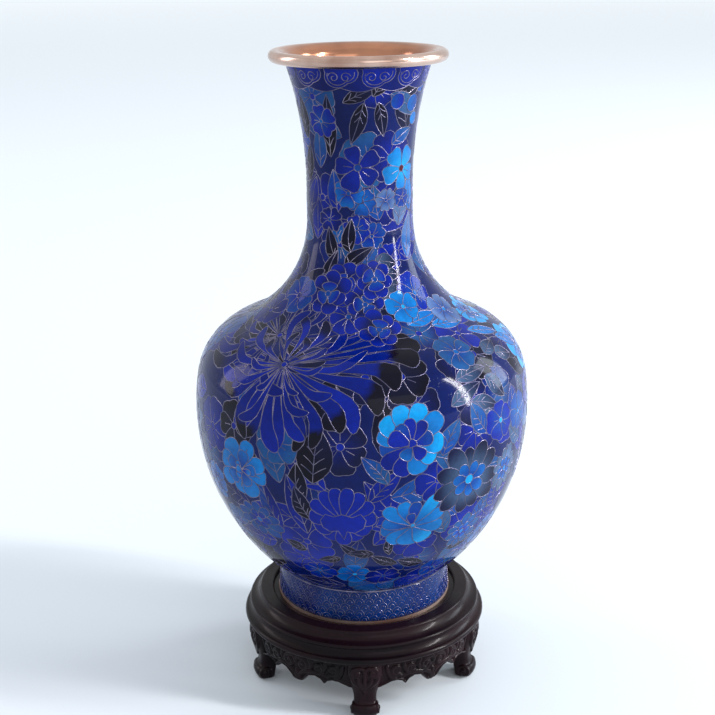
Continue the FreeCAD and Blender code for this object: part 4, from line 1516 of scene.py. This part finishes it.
def aimCamera():
    # at the viewer's side, above the mouth and looking down
    data = bpy.data.cameras.new("camera")
    data.lens = view["lens"]
    data.sensor_width = 36
    data.shift_x = view["aside"]
    data.clip_start = 0.01
    camera = bpy.data.objects.new("camera", data)
    tilt = Matrix.Rotation(math.radians(90 + view["pitch"]), 4, "X")
    roll = Matrix.Rotation(math.radians(view["roll"]), 4, "Z")
    camera.matrix_world = Matrix.Translation(view["place"]) @ tilt @ roll
    scene.collection.objects.link(camera)
    scene.camera = camera


aimCamera()


def softLight(name, spot, target, size, power, colour):
    # an area light turned towards its target
    data = bpy.data.lights.new(name, "AREA")
    data.shape = "RECTANGLE"
    data.size, data.size_y = size
    data.energy = power
    data.color = colour
    lamp = bpy.data.objects.new(name, data)
    aim = Vector(target) - Vector(spot)
    lamp.matrix_world = Matrix.Translation(spot) @ aim.to_track_quat("-Z", "Y").to_matrix().to_4x4()
    scene.collection.objects.link(lamp)


lights = (
    # name, place and target in metres, size, watts, colour
    ("tallWindow", (3.1, -0.84, 1.4), (0, 0, 0.2), (0.26, 2.7), 168, (1, 0.98, 0.98)),
    ("frontFill", (1.1, -2.5, 1.3), (0, 0, 0.2), (1.8, 1.4), 10, (0.95, 0.97, 1)),
    ("sideLeft", (-2.7, 0.7, 1.1), (0, 0, 0.2), (0.8, 1.8), 18, (1, 0.90, 0.93)),
    ("sideRight", (2.7, 1.0, 1.1), (0, 0, 0.2), (0.8, 1.8), 44, (0.85, 0.93, 1)),
    ("overhead", (0.0, 0.5, 2.2), (0, 0.1, 0), (2.6, 2.0), 3, (1, 1, 1)),
)
for light in lights:
    softLight(*light)


floorShape = {
    "level": -0.02,
    "rings": (400, 800, 1600, 3200, 6400, 14000),
    "steps": 64,
    "near": (0.60, 0.645, 0.69),
    "far": (0.93, 0.965, 0.99),
    "blend": (0.3, 7.0),  # distances in metres over which near gives way to far
}


def paleFloor():
    # a plain floor, a little deeper in tone near the vase, where more light falls, so that it looks even
    material, tree, shader = newMaterial("paleFloor")
    away = tree.nodes.new("ShaderNodeVectorMath")
    away.operation = "LENGTH"
    tree.links.new(objectCoordinates(tree), away.inputs[0])
    distance = span(tree, away.outputs["Value"], *floorShape["blend"], 0, 1)
    shade = mixColour(tree, distance, floorShape["near"], floorShape["far"])
    tree.links.new(shade, shader.inputs["Base Color"])
    shader.inputs["Roughness"].default_value = 0.9
    rings, steps, level = floorShape["rings"], floorShape["steps"], floorShape["level"]
    points = [(0, 0, level)]
    for radius in rings:
        for k in range(steps):
            a = 2 * math.pi * k / steps
            points.append((radius * math.cos(a), radius * math.sin(a), level))
    faces = [(0, 1 + k, 1 + (k + 1) % steps) for k in range(steps)]
    for ring in range(len(rings) - 1):
        for k in range(steps):
            n = (k + 1) % steps
            a, b = 1 + ring * steps, 1 + (ring + 1) * steps
            faces.append((a + k, b + k, b + n, a + n))
    meshPiece("paleFloor", points, faces, material)


paleFloor()

room = {"colour": (0.93, 0.97, 1.0, 1), "strength": 0.98}
world = bpy.data.worlds.new("paleRoom")
world.use_nodes = True
background = world.node_tree.nodes["Background"]
background.inputs["Color"].default_value = room["colour"]
background.inputs["Strength"].default_value = room["strength"]
scene.world = world
